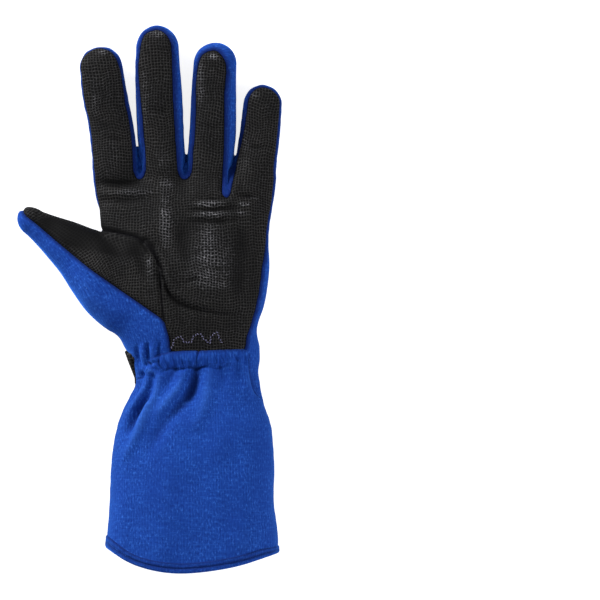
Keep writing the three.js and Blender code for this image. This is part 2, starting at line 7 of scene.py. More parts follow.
import bpy
import numpy as np
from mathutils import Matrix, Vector


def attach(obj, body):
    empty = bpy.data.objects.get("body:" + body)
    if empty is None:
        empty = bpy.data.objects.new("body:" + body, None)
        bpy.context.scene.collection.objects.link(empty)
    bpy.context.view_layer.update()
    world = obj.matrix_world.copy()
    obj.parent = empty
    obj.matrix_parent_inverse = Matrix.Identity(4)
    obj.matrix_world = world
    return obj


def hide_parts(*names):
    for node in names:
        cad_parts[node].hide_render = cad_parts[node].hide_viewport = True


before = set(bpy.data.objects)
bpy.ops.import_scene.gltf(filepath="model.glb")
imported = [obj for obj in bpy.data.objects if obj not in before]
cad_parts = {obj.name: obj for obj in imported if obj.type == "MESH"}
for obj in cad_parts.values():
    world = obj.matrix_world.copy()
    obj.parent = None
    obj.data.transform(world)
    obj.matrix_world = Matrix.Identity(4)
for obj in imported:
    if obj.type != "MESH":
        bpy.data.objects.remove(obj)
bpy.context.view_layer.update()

MM = 0.001

# The hollow form: thickness of the cloth, power of the superellipse, height of a section's
# widest place as a share of the whole, how much fuller its lower half is, step of the net
CLOTH = 2.0
ROUNDNESS = 2.3
MIDDLE_SHARE = 0.47
PRESS = 1.3
GRID_STEP = 1.1
# Corners of the box that the net fills
NET_LOW = (-86.0, -172.0, -3.0)
NET_HIGH = (84.0, 170.0, 60.0)
# How far out the domes of index, middle, ring, little and thumb reach
DOMES = (12.0, 14.0, 13.2, 11.8, 10.6)
BODY_DOME = 4.0
# How widely two forms run into each other: base and side, fingers, fingers and hand, thumb
BLEND_BASE, BLEND_FINGERS, BLEND_HAND, BLEND_THUMB = 1.2, 1.6, 5.0, 4.0
# Rounds: evening the net out, passing distances on, laying the cloth flat, halving a height
RELAX_ROUNDS, SPREAD_ROUNDS, FLAT_ROUNDS, HALVINGS = 4, 24, 260, 26

# Digits: x, y of the centre line, half width, lowest point, highest point, root to tip
INDEX = [
    (-18.5, 64.0, 13.0, 0.6, 18.0),
    (-20.0, 78.0, 13.6, 0.2, 21.0),
    (-23.4, 105.0, 13.3, 0.4, 19.5),
    (-27.2, 124.0, 13.3, 1.4, 19.5),
    (-29.2, 139.2, 12.7, 3.0, 19.5),
]
MIDDLE = [
    (9.0, 64.0, 13.0, 0.6, 18.0),
    (8.0, 78.0, 13.6, 0.2, 21.5),
    (6.6, 100.0, 14.0, 0.3, 20.0),
    (5.4, 125.0, 13.8, 1.2, 20.0),
    (4.7, 150.4, 12.7, 3.6, 20.0),
]
RING = [
    (33.6, 62.0, 12.4, 0.6, 18.0),
    (35.4, 76.0, 13.2, 0.2, 21.5),
    (37.6, 96.0, 14.0, 0.3, 20.0),
    (38.5, 118.0, 13.6, 1.0, 19.5),
    (39.3, 141.0, 12.9, 3.2, 19.5),
]
LITTLE = [
    (59.6, 56.0, 12.0, 0.6, 18.0),
    (62.0, 70.0, 12.5, 0.2, 20.5),
    (64.0, 84.0, 12.2, 0.3, 18.5),
    (66.2, 100.0, 11.9, 1.0, 17.5),
    (67.8, 116.6, 11.5, 2.8, 17.5),
]
THUMB = [
    (-1.0, -7.0, 20.0, 1.2, 31.0),
    (-10.0, 0.6, 24.3, 0.5, 34.0),
    (-22.5, 10.8, 24.0, 0.2, 33.5),
    (-34.5, 21.0, 20.2, 0.2, 30.5),
    (-44.1, 29.1, 16.2, 0.6, 26.5),
    (-52.8, 35.4, 13.4, 1.6, 24.0),
    (-65.1, 43.2, 9.4, 3.4, 20.5),
    (-69.6, 46.0, 8.2, 4.0, 19.0),
]
# Hand and cuff: y, left and right outline, lowest and highest point, down to the mouth
BODY = [
    (81.6, -30.0, 71.0, 0.0, 7.0),
    (74.0, -31.9, 74.2, 0.0, 17.5),
    (65.4, -31.0, 74.0, 0.0, 24.0),
    (51.0, -29.5, 72.6, 0.0, 29.0),
    (35.4, -27.9, 71.2, 0.0, 32.5),
    (18.0, -25.5, 71.8, 0.0, 36.5),
    (-2.0, -22.4, 69.2, 0.0, 38.5),
    (-17.4, -20.0, 64.6, 0.6, 37.5),
    (-29.0, -14.8, 66.0, 2.0, 35.2),
    (-36.0, -10.8, 66.2, 2.0, 34.2),
    (-44.0, -9.0, 65.3, 2.0, 34.6),
    (-51.0, -8.4, 66.4, 2.0, 35.8),
    (-57.0, -10.8, 67.3, 2.0, 37.4),
    (-66.0, -15.4, 69.2, 0.4, 40.8),
    (-78.0, -19.6, 73.0, 0.0, 45.0),
    (-95.0, -22.4, 74.5, 0.0, 48.8),
    (-122.0, -23.8, 74.8, 0.0, 52.3),
    (-145.0, -25.6, 77.0, 0.0, 54.0),
    (-166.0, -26.0, 77.4, 0.0, 54.5),
    (-180.0, -26.0, 77.4, 0.0, 54.5),
]

# Loose folds of the knit: rise, width, then the points that each runs through
KNIT_FOLDS = [
    (3.8, 3.0, [(5.4, -46.6), (3.1, -55.2), (-0.2, -62.6), (-3.9, -71.4), (-8.0, -82.0),
                (-16.5, -98.4)]),
    (-4.6, 2.4, [(2.6, -47.0), (1.6, -52.3), (0.4, -57.5), (-4.3, -63.4), (-9.0, -71.0),
                 (-14.5, -82.0)]),
    (3.0, 2.9, [(0.5, -47.9), (-2.5, -52.0), (-6.1, -57.5), (-9.7, -63.4), (-17.9, -78.0)]),
    (-3.0, 2.2, [(-5.0, -50.0), (-8.0, -56.0), (-12.0, -63.0)]),
    (-3.3, 3.2, [(28.9, -41.5), (28.0, -47.0), (26.4, -54.0), (22.0, -61.0)]),
    (-2.6, 4.4, [(27.0, -46.0), (22.6, -57.0), (13.1, -68.8), (2.3, -85.6), (-4.0, -98.0)]),
    (2.6, 5.0, [(36.0, -42.5), (35.0, -50.0), (33.0, -62.0), (26.0, -80.0)]),
    (3.2, 3.6, [(21.0, -43.0), (18.5, -52.0), (11.0, -62.0), (3.0, -72.0)]),
    (-2.6, 3.2, [(61.2, -43.8), (64.0, -50.6), (67.4, -60.6)]),
    (1.8, 3.4, [(55.8, -43.0), (58.6, -51.0), (61.0, -60.0)]),
    (-1.6, 2.4, [(40.5, -40.4), (43.6, -46.0), (45.5, -54.0)]),
    (-1.8, 2.6, [(49.7, -40.0), (53.0, -46.0), (55.4, -54.0)]),
    (-1.3, 2.4, [(15.0, -41.4), (13.0, -47.0), (10.5, -54.0)]),
    (-2.0, 1.5, [(5.8, -26.4), (4.9, -31.0), (5.4, -36.0)]),
    (1.8, 2.0, [(2.4, -27.5), (1.9, -32.5), (3.0, -37.0)]),
    (-2.2, 1.4, [(-1.0, -28.0), (-0.6, -33.0), (0.2, -37.6)]),
    (1.8, 2.2, [(-3.8, -28.6), (-3.6, -34.0), (-2.0, -39.0)]),
    (-1.7, 1.6, [(-7.0, -29.0), (-6.6, -35.0), (-5.2, -42.0)]),
    (1.3, 1.8, [(-9.4, -33.0), (-9.0, -39.0), (-7.6, -46.0)]),
    (-2.2, 1.3, [(5.6, -37.2), (0.4, -39.2), (-3.0, -40.0)]),
    (2.4, 2.6, [(2.4, -41.4), (-0.6, -43.6), (-2.0, -46.0)]),
    (-2.4, 1.6, [(-2.6, -43.4), (-4.6, -45.6), (-6.0, -48.0)]),
    (1.4, 8.0, [(-44.0, 17.0), (-30.0, 1.0), (-16.0, -13.0)]),
    (-1.2, 5.0, [(-36.0, 15.0), (-24.0, 4.0), (-10.0, -6.0)]),
    (-3.0, 1.0, [(8.0, -43.0), (12.6, -41.2), (18.0, -42.0), (24.0, -40.6), (28.6, -41.6),
                 (34.0, -40.0), (40.0, -41.2), (46.0, -39.6), (52.0, -40.2)]),
    (-2.4, 1.1, [(-5.0, 92.0), (-5.5, 82.0), (-5.9, 74.0)]),
    (-2.4, 1.1, [(22.2, 90.0), (21.5, 80.0), (21.2, 73.6)]),
    (-2.4, 1.1, [(51.0, 86.0), (48.0, 74.0), (46.2, 62.6)]),
    (0.9, 9.0, [(6.0, -150.0), (2.0, -120.0), (6.0, -96.0)]),
    (-0.9, 11.0, [(30.0, -152.0), (34.0, -120.0), (30.0, -94.0)]),
    (0.8, 8.0, [(58.0, -150.0), (60.0, -120.0), (58.0, -90.0)]),
]
# The sharp crease that curls round the ball of the thumb
THUMB_CREASE = [
    (-2.1, 35.4), (2.5, 29.9), (7.4, 19.2), (8.9, 11.5), (11.7, 3.8), (16.3, -1.5),
    (22.4, -4.6), (30.1, -6.8), (40.7, -8.4), (52.0, -9.0),
]
# Folds and pressed creases of the black palm
GRIP_FOLDS = [
    (1.8, 4.6, [(7.5, 76.0), (8.7, 58.0), (8.9, 44.0), (8.5, 31.0)]),
    (-2.3, 1.2, THUMB_CREASE),
    (-1.8, 0.9, [(-4.6, 34.0), (-0.4, 28.4), (4.6, 18.4), (6.5, 10.0), (8.0, 2.0)]),
    (2.0, 1.2, [(-2.0, 33.0), (3.0, 24.6), (6.9, 14.6), (8.4, 6.0), (9.8, -1.0)]),
    (2.2, 2.4, [(6.0, 29.4), (10.8, 18.0), (13.0, 9.0), (18.4, 2.4), (29.0, -2.6), (40.0, -4.0)]),
    (-1.3, 1.5, [(25.6, 53.6), (34.0, 53.7), (45.0, 54.1), (56.0, 55.0)]),
    (1.0, 1.5, [(27.0, 56.9), (36.0, 57.0), (46.0, 57.4), (60.0, 57.4)]),
    (-0.9, 1.5, [(27.0, 59.8), (36.0, 60.0), (46.0, 60.4)]),
    (0.9, 1.6, [(28.0, 50.7), (37.0, 50.7), (47.0, 51.0), (57.0, 51.6)]),
    (-1.4, 1.6, [(25.0, 47.2), (35.0, 46.7), (46.0, 46.9), (58.0, 49.2)]),
    (-1.4, 1.3, [(54.0, 62.6), (60.0, 61.6), (66.0, 61.6)]),
    (-1.8, 2.4, [(-29.5, 69.6), (-19.0, 68.4), (-8.0, 70.2), (2.0, 71.4)]),
    (1.5, 2.4, [(-29.0, 63.4), (-15.0, 64.4), (0.0, 65.0), (11.0, 64.0)]),
    (-1.2, 2.2, [(-29.0, 58.5), (-14.0, 59.0), (2.0, 60.0)]),
    (1.3, 6.0, [(35.0, 45.0), (37.0, 24.0), (35.0, 6.0)]),
    (-1.3, 5.0, [(20.0, 46.0), (21.0, 32.0), (24.0, 16.0)]),
    (-1.2, 6.0, [(55.0, 44.0), (56.0, 20.0), (52.0, -4.0)]),
    (1.2, 3.4, [(-0.6, 27.6), (1.5, 20.0), (2.2, 12.0)]),
    (-1.2, 4.0, [(-7.0, 27.0), (-4.0, 18.0), (-3.0, 8.0)]),
    (-1.0, 1.4, [(20.0, 9.0), (28.0, 12.0), (38.0, 9.0), (46.0, 12.0)]),
    (-1.0, 1.6, [(-26.0, 97.0), (-18.0, 95.6), (-12.0, 97.0)]),
    (-0.9, 1.6, [(0.0, 113.0), (6.0, 112.0), (13.0, 113.4)]),
    (-0.9, 1.6, [(31.0, 104.0), (38.0, 102.6), (45.0, 104.0)]),
    (-0.8, 1.6, [(58.0, 92.0), (66.0, 90.6), (74.0, 92.0)]),
]
# Painted highlight on the grip's net (above 0), and painted shade over a flatter net (below 0):
# x, y, reach in x and in y, strength
GRIP_SHINE_AND_SHADE = [
    (9.3, 47.0, 4.0, 17.0, 1.0), (35.0, 34.0, 4.5, 18.0, 0.4), (37.5, 20.0, 17.0, 20.0, 0.6),
    (36.0, 57.2, 8.0, 1.8, 1.3), (57.0, 57.0, 4.0, 1.4, 1.2), (37.0, 50.7, 9.0, 1.7, 1.2),
    (57.0, 51.4, 4.0, 1.6, 0.8), (60.0, 60.6, 5.0, 0.6, 1.2), (-8.0, 64.2, 20.0, 2.0, 0.55),
    (10.0, 69.0, 5.0, 3.0, 0.6), (-28.5, 148.0, 3.0, 1.8, 1.0), (4.5, 159.0, 4.6, 1.8, 1.7),
    (38.2, 145.4, 3.0, 1.8, 1.4), (63.0, 123.0, 3.4, 1.6, 0.9), (0.0, 22.0, 2.2, 9.0, 1.0),
    (-3.0, 120.0, 2.6, 26.0, 0.45), (30.6, 130.0, 2.6, 14.0, 0.7), (-33.0, 120.0, 3.0, 24.0, 0.35),
    (58.0, 88.0, 3.0, 20.0, 0.4), (-22.0, 82.0, 7.0, 12.0, 0.3), (8.0, 84.0, 6.0, 9.0, 0.3),
    (-18.0, 70.0, 13.0, 2.2, -0.9), (4.0, 56.0, 2.4, 12.0, -0.4), (-58.0, 44.0, 12.0, 5.5, -1.5),
    (-38.0, 38.0, 16.0, 8.0, -1.8), (-16.0, 33.0, 14.0, 7.0, -1.8), (-2.0, 30.0, 6.0, 5.0, -1.0),
    (62.0, 20.0, 6.0, 34.0, -0.6), (28.0, 1.0, 16.0, 4.0, -0.5), (50.0, 66.0, 8.0, 5.0, -0.5),
    (-24.0, 104.0, 10.0, 5.0, -0.5), (36.0, -14.0, 22.0, 8.0, -0.4), (8.0, 118.0, 5.0, 14.0, -0.3),
]

# Seams and outlines in plan. The left side of PALM_OUTLINE lies beyond the glove, and
# PALM_LOWEST ends the palm there
THUMB_SEAM = [
    (12.9, -31.2), (11.7, -23.4), (8.7, -12.0), (7.1, 3.6), (6.5, 13.8), (4.4, 23.4),
    (-0.7, 31.3), (-7.7, 36.8), (-17.7, 39.4), (-31.0, 41.8),
]
PALM_OUTLINE = THUMB_SEAM + [
    (-33.0, 46.2), (-33.5, 56.4), (-35.0, 66.6), (-37.0, 80.4), (-38.9, 95.4), (-40.2, 107.4),
    (-41.6, 115.8), (-43.2, 124.2), (-44.8, 132.6), (-44.6, 141.0), (-41.0, 147.8), (-35.2, 150.8),
    (-28.6, 151.0), (-22.8, 148.8), (-19.4, 144.2), (-17.4, 138.8), (-16.2, 132.5), (-14.9, 124.2),
    (-13.6, 115.8), (-11.7, 107.4), (-9.8, 93.6), (-9.0, 82.2), (-8.7, 76.6), (-7.2, 73.0),
    (-4.6, 73.0), (-3.1, 76.6), (-3.1, 82.2), (-4.5, 107.4), (-5.3, 115.8), (-6.2, 124.2),
    (-6.8, 132.6), (-6.8, 141.0), (-6.0, 149.4), (-5.0, 156.0), (-2.4, 160.4), (3.9, 162.6),
    (8.3, 161.3), (11.2, 158.4), (13.2, 153.6), (14.0, 145.2), (14.2, 132.6), (14.4, 120.0),
    (15.3, 107.4), (16.7, 89.4), (17.5, 79.0), (18.8, 74.2), (21.1, 72.7), (23.4, 74.0),
    (24.8, 79.0), (25.8, 89.4), (26.8, 98.4), (27.2, 115.2), (27.4, 127.8), (28.2, 138.2),
    (29.6, 144.0), (32.0, 147.6), (37.3, 149.9), (41.0, 149.0), (44.0, 145.8), (45.7, 142.4),
    (46.5, 136.2), (45.7, 127.8), (45.2, 119.4), (45.2, 96.0), (44.9, 83.4), (43.8, 68.6),
    (43.9, 63.6), (46.0, 61.2), (48.2, 63.0), (49.6, 69.2), (52.1, 83.4), (54.5, 95.4),
    (56.9, 106.8), (57.7, 113.0), (58.8, 119.8), (61.4, 124.9), (66.0, 127.4), (71.4, 127.6),
    (76.8, 125.6), (80.8, 121.6), (81.6, 115.2), (80.6, 106.8), (78.8, 95.4), (76.6, 82.0),
    (75.0, 68.4), (73.4, 56.4), (71.2, 44.6), (69.8, 30.4), (68.0, 18.6), (66.4, 5.4),
    (64.2, -6.6), (61.0, -17.4), (58.5, -23.4), (57.6, -29.6), (50.0, -36.0), (20.0, -36.5),
]
THUMB_EDGE = [
    (12.9, -31.2), (10.5, -18.8), (7.5, -12.6), (0.3, -7.2), (-19.5, 6.6), (-35.7, 18.0),
    (-51.3, 30.6), (-69.3, 46.0), (-74.6, 50.2), (-76.4, 54.4), (-74.4, 61.0),
]
CASING_LINE = [
    (59.6, -34.4), (50.0, -34.6), (33.0, -35.2), (18.0, -35.8), (8.0, -37.0), (2.4, -40.0),
    (-1.6, -44.0), (-4.4, -47.0),
]
RIGHT_SIDE_SEAM = [(59.9, -29.0), (59.6, -38.0), (62.4, -49.0), (66.4, -59.0), (82.0, -74.0)]
BACK_THUMB_SEAM = [
    (-34.0, 49.0), (-31.4, 43.0), (-28.6, 34.0), (-28.5, -4.0), (-26.5, -15.0), (-20.0, -24.0),
    (-14.0, -29.0),
]
HEM_LINE = [
    (-40.0, -140.0), (-26.0, -149.0), (-8.0, -159.4), (17.0, -164.0), (48.0, -160.8),
    (76.0, -152.6), (92.0, -146.0),
]
HEM_MIDDLE = -155.0
# The panels stop this far above the hem line, and the binding covers their edge
HEM_GAP = 3.0
# Distance that a seam of knit on knit starts from, and the distance that shows no seam
SOFT_SEAM = 1.4
FAR_FROM_SEAM = 30.0
# Lowest height of each panel
FINGER_BACK_SEAM = 5.5
PALM_LOWEST = 12.3
THUMB_LOWEST = 5.0
GUSSET_LOWEST = 12.0
GAUNTLET_LOWEST = 20.0


# curves and noise
def smooth_line(points, per=8, closed=False):
    """Catmull-Rom curve through the points: each stretch is the cubic that leaves and reaches
    its ends with half the chord of the neighbours, in per equal steps."""
    p = np.array(points, float)
    q = np.concatenate([p[-1:], p, p[:2]] if closed else [p[:1], p, p[-1:]])
    a, b, c, d = (q[i : len(q) - 3 + i, None] for i in range(4))
    t = (np.arange(per) / per)[None, :, None]
    curve = b + 0.5 * t * (c - a + t * (2 * a - 5 * b + 4 * c - d + t * (3 * (b - c) + d - a)))
    curve = curve.reshape(-1, p.shape[1])
    return curve if closed else np.concatenate([curve, p[-1:]])


def unit(v):
    """Each vector over its own length."""
    return v / np.maximum(np.linalg.norm(v, axis=-1, keepdims=True), 1e-9)


def smooth_step(low, high, v):
    """0 at low, 1 at high, and 3 t^2 - 2 t^3 of the way t between them."""
    t = np.clip((v - low) / (high - low), 0, 1)
    return t * t * (3 - 2 * t)


def ripple(points, size, seed, waves=9):
    """Even waviness between about -1 and 1: a sum of plane waves about size long, in
    directions and phases drawn from the seed."""
    draw = np.random.default_rng(seed)
    ways = unit(draw.normal(size=(waves, 3))) * (2 * np.pi / size) * draw.uniform(0.6, 1.5, (waves, 1))
    phase = draw.uniform(0, 2 * np.pi, waves)
    return np.sin(points @ ways.T + phase).sum(1) / np.sqrt(waves)


def way_along(line):
    """The way from the first point of a line to each of its points."""
    return np.concatenate([[0], np.cumsum(np.linalg.norm(np.diff(line, axis=0), axis=1))])


def near_line(line, x, y):
    """Distance in plan from each point to a line of points, the side it lies on (positive to
    the left of the line's run), and its share of the way along."""
    step = np.diff(line, axis=0)
    length = np.linalg.norm(step, axis=1)
    start = way_along(line)
    best = np.full(x.shape, np.inf)
    side = np.zeros(x.shape)
    at = np.zeros(x.shape)
    for (ax, ay), (dx, dy), size, gone in zip(line[:-1], step, length, start):
        t = np.clip(((x - ax) * dx + (y - ay) * dy) / size**2, 0, 1)
        px, py = x - ax - t * dx, y - ay - t * dy
        gap = np.hypot(px, py)
        closer = gap < best
        best = np.where(closer, gap, best)
        side = np.where(closer, np.sign(dx * py - dy * px), side)
        at = np.where(closer, gone + t * size, at)
    return best, side, at / start[-1]


def inset(outline, x, y):
    """How far each point lies inside a closed outline, negative outside it."""
    ring = np.concatenate([outline, outline[:1]])
    gap = near_line(ring, x, y)[0]
    inside = np.zeros(x.shape, bool)
    for (ax, ay), (bx, by) in zip(ring[:-1], ring[1:]):
        if ay != by:
            crosses = (ay > y) != (by > y)
            inside ^= crosses & (x < ax + (y - ay) * (bx - ax) / (by - ay))
    return np.where(inside, gap, -gap)


# the hollow form
def section_gap(across, z, half, base, top, beyond, reach):
    """Rough distance outside a superellipse section that is pressed flat at its base, and
    closed by a dome: (size of the point against the section - 1) / slope of that size."""
    middle = base + (top - base) * MIDDLE_SHARE
    high = np.where(z > middle, top - middle, (middle - base) * PRESS)
    u = np.abs(across) / half + 1e-6
    w = np.abs(z - middle) / high + 1e-6
    ring = (u**ROUNDNESS + w**ROUNDNESS) ** (1 / ROUNDNESS)
    slope = ring ** (1 - ROUNDNESS) * np.hypot(u ** (ROUNDNESS - 1) / half, w ** (ROUNDNESS - 1) / high)
    size = np.hypot(ring, beyond / reach)
    steep = np.hypot(ring * slope, beyond / reach**2) / size
    return soft_max((size - 1) / steep, base - z, BLEND_BASE)


def soft_min(a, b, blend):
    """The smaller of two, rounded by a parabola where they differ by less than blend."""
    h = np.maximum(blend - np.abs(a - b), 0) / blend
    return np.minimum(a, b) - h * h * blend / 4


def soft_max(a, b, blend):
    """The larger of two, rounded in the same way."""
    return -soft_min(-a, -b, blend)


class Digit:
    """A finger or thumb: its sections stand square to a straight axis from root to tip."""

    def __init__(self, rows, dome):
        table = smooth_line(rows)
        self.root = table[0, :2]
        self.heading = unit(table[-1, :2] - self.root)
        self.side = np.array([-self.heading[1], self.heading[0]])
        self.along = (table[:, :2] - self.root) @ self.heading
        self.offset = (table[:, :2] - self.root) @ self.side
        self.columns = table[:, 2:].T
        self.dome = dome

    def place(self, x, y):
        """How far along the axis each point lies, and how far to its left."""
        dx, dy = x - self.root[0], y - self.root[1]
        return dx * self.heading[0] + dy * self.heading[1], dx * self.side[0] + dy * self.side[1]

    def gap(self, x, y, z):
        """Distance outside the digit."""
        along, across = self.place(x, y)
        station = np.clip(along, 0, self.along[-1])
        half, base, top = (np.interp(station, self.along, c) for c in self.columns)
        across = across - np.interp(station, self.along, self.offset)
        return section_gap(across, z, half, base, top, along - station, self.dome)


*fingers, thumb = (Digit(rows, dome) for rows, dome in zip((INDEX, MIDDLE, RING, LITTLE, THUMB), DOMES))
body_rows = smooth_line(BODY)[::-1]


def body_section(y):
    """Centre, half width, lowest and highest point of the hand and cuff at y."""
    left, right, base, top = (np.interp(y, body_rows[:, 0], body_rows[:, i]) for i in (1, 2, 3, 4))
    return (left + right) / 2, (right - left) / 2, base, top


def body_gap(x, y, z):
    """Distance outside the hand and cuff."""
    centre, half, base, top = body_section(y)
    beyond = np.maximum(y - BODY[0][0], 0)
    return section_gap(x - centre, z, half, base, top, beyond, BODY_DOME)


def cloth_gap(x, y, z):
    """Distance outside the whole glove: fingers, hand and thumb run softly together."""
    gap = fingers[0].gap(x, y, z)
    for finger in fingers[1:]:
        gap = soft_min(gap, finger.gap(x, y, z), BLEND_FINGERS)
    gap = soft_min(gap, body_gap(x, y, z), BLEND_HAND)
    return soft_min(gap, thumb.gap(x, y, z), BLEND_THUMB)


def slope_of(points, step=0.05):
    """Gap and its gradient at each point, by central differences."""
    x, y, z = points.T
    ways = [
        cloth_gap(x + dx, y + dy, z + dz) - cloth_gap(x - dx, y - dy, z - dz)
        for dx, dy, dz in np.eye(3) * step
    ]
    return cloth_gap(x, y, z), np.stack(ways, 1) / (2 * step)


def settle(points, rounds):
    """Moves the points on to the cloth's outer face along the gap's gradient."""
    for _ in range(rounds):
        gap, slope = slope_of(points)
        steep = np.maximum((slope**2).sum(1), 0.1)
        points = points - np.clip(gap, -2, 2)[:, None] * slope / steep[:, None]
    return points


def skin(low, high, step):
    """The outer face as a net: one point in each grid cell that the face crosses, at the mean
    of the crossings on the cell's edges, and one square round each crossed edge."""
    count = [int((b - a) / step / 3) * 3 + 3 for a, b in zip(low, high)]
    axes = [a + step * np.arange(n) for a, n in zip(low, count)]
    coarse = cloth_gap(*np.meshgrid(*(a[1::3] for a in axes), indexing="ij"))
    value = coarse.repeat(3, 0).repeat(3, 1).repeat(3, 2)
    band = np.abs(value) < 4 * step + 3
    i, j, k = np.nonzero(band)
    value[band] = cloth_gap(axes[0][i], axes[1][j], axes[2][k])
    inside = value < 0
    cells = tuple(n - 1 for n in count)
    total = np.zeros(cells + (3,))
    hits = np.zeros(cells)
    crossed = []
    for axis in range(3):
        one = [slice(None)] * 3
        two = [slice(None)] * 3
        one[axis], two[axis] = slice(0, -1), slice(1, None)
        a, b = value[tuple(one)], value[tuple(two)]
        cross = inside[tuple(one)] != inside[tuple(two)]
        crossed.append(cross)
        share = np.where(cross, a / np.where(cross, a - b, 1), 0)
        first, second = [d for d in range(3) if d != axis]
        for p in (0, 1):
            for q in (0, 1):
                pick = [slice(None)] * 3
                pick[first] = slice(p, p + cells[first])
                pick[second] = slice(q, q + cells[second])
                hit = cross[tuple(pick)]
                total[..., axis] += np.where(hit, share[tuple(pick)], 0)
                total[..., first] += hit * p
                total[..., second] += hit * q
                hits += hit
    used = hits > 0
    number = np.full(cells, -1)
    number[used] = np.arange(used.sum())
    corner = np.stack(np.nonzero(used), 1)
    points = (corner + total[used] / hits[used][:, None]) * step + np.array(low)
    quads = []
    for axis in range(3):
        first, second = (axis + 1) % 3, (axis + 2) % 3
        spot = np.stack(np.nonzero(crossed[axis]), 1)
        keep = (spot[:, first] > 0) & (spot[:, second] > 0)
        keep &= (spot[:, first] < cells[first]) & (spot[:, second] < cells[second])
        spot = spot[keep]
        ring = []
        for p, q in ((0, 0), (1, 0), (1, 1), (0, 1)):
            cell = spot.copy()
            cell[:, first] -= p
            cell[:, second] -= q
            ring.append(number[tuple(cell.T)])
        quad = np.stack(ring, 1)
        out = inside[tuple(spot.T)]
        quads.append(np.where(out[:, None], quad, quad[:, ::-1]))
    return points, np.concatenate(quads)


def relax(points, quads, rounds):
    """Evens the net out: each point moves half way to its neighbours' mean, then back on to
    the face."""
    a = quads.ravel()
    b = np.roll(quads, -1, 1).ravel()
    degree = np.bincount(a, minlength=len(points)) + np.bincount(b, minlength=len(points))
    edge = points[:, 1] < points[:, 1].min() + 2 * GRID_STEP
    for _ in range(rounds):
        sums = [
            np.bincount(a, points[b, i], len(points)) + np.bincount(b, points[a, i], len(points))
            for i in range(3)
        ]
        mean = np.stack(sums, 1) / degree[:, None]
        moved = points + 0.5 * (mean - points)
        points = np.where(edge[:, None], points, moved)
        points = settle(points, 1)
    return settle(points, 2)


def two_triangles(quads, points):
    """Each square in two along its shorter diagonal."""
    a, b, c, d = quads.T
    first, second = points[a] - points[c], points[b] - points[d]
    long = np.linalg.norm(first, axis=1) > np.linalg.norm(second, axis=1)
    one = np.where(long[:, None], np.stack([a, b, d], 1), np.stack([a, b, c], 1))
    two = np.where(long[:, None], np.stack([b, c, d], 1), np.stack([a, c, d], 1))
    return np.concatenate([one, two])


# folds of the cloth
# Gathers below the casing: rise, waves along it, where they start and how far they reach
GATHERS = {"rise": 0.45, "waves": 92.0, "start": 3.5, "reach": 5.0}
# Pleats of the wrist: y of their middle, half length, rise, what the strap presses away of
# it, and waves over the height
PLEATS = {"middle": -43.0, "half": 13.0, "rise": 0.8, "pressed": 0.65, "waves": 1.15}


def fold_sum(folds, x, y):
    """Height of the folds: each is a bell across its line, fading out at both ends."""
    total = np.zeros(x.shape)
    for rise, wide, points in folds:
        line = smooth_line(points, 5)
        gap, _, at = near_line(line, x, y)
        fade = np.sin(np.pi * np.clip(0.14 + at * 0.86, 0, 1)) ** 0.8
        total += rise * fade * np.exp(-((gap / wide) ** 2))
    return total


def grip_shine_and_shade_at(x, y):
    """Painted highlight (above 0) and painted shade over a flatter net (below 0) of the grip at each
    point, as a sum of soft spots.
    """
    total = np.zeros(x.shape)
    for cx, cy, wide, tall, strength in GRIP_SHINE_AND_SHADE:
        total += strength * np.exp(-(((x - cx) / wide) ** 2) - ((y - cy) / tall) ** 2)
    return np.clip(total, -1, 1.6)


def crease_gap(x, y):
    """Distance from the crease round the ball of the thumb."""
    return near_line(smooth_line(THUMB_CREASE, 6), x, y)[0]


def relief(points, normals):
    """How far the cloth stands out from the plain form: its folds, the small gathers that
    run out from the elastic, and an even waviness that fades on the floor."""
    x, y, z = points.T
    upper = smooth_step(0.05, 0.75, normals[:, 2])
    off_floor = smooth_step(0.3, 6.0, z)
    in_palm = smooth_step(-1.0, 1.5, inset(palm_outline(), x, y))
    in_palm = np.maximum(in_palm, smooth_step(-1.0, 1.0, inset(thumb_outline(), x, y)))
    folds = fold_sum(GRIP_FOLDS, x, y) * in_palm + fold_sum(KNIT_FOLDS, x, y) * (1 - in_palm)
    gap, side, at = near_line(smooth_line(CASING_LINE, 6), x, y)
    below = np.exp(-np.maximum(gap - GATHERS["start"], 0) / GATHERS["reach"]) * (side > 0)
    gathers = np.sin(at * GATHERS["waves"] + 1.3 * np.sin(at * 23.0)) * GATHERS["rise"] * below
    wrist = np.exp(-(((y - PLEATS["middle"]) / PLEATS["half"]) ** 2))
    wrist *= smooth_step(0.5, -0.2, normals[:, 2])
    under_strap = smooth_step(-58.0, -54.0, y) * smooth_step(-28.0, -32.0, y)
    pleats = wrist * (PLEATS["rise"] - PLEATS["pressed"] * under_strap)
    pleats *= np.sin(z * PLEATS["waves"] + 0.6 * np.sin(y * 0.2))
    on_cuff = smooth_step(-20.0, -60.0, y)
    wavy = (0.14 + 0.22 * upper + 0.12 * on_cuff) * ripple(points, 34.0, 3)
    wavy += (0.05 + 0.12 * upper) * ripple(points, 13.0, 5)
    return (folds + gathers) * upper + (pleats + wavy) * off_floor


# cutting and sewing
# A corner nearer to a cut than this is moved off it
NEAR_CUT = 0.02
# The sewn edge: width of its groove, then place, width and share of the soft roll beside it,
# then rise, size, place and width of its puckers
GROOVE_WIDTH = 1.2
ROLL_AT, ROLL_WIDTH, ROLL_SHARE = 3.0, 1.6, 0.2
PUCKER_RISE, PUCKER_SIZE, PUCKER_AT, PUCKER_WIDTH = 0.12, 6.5, 2.0, 2.4


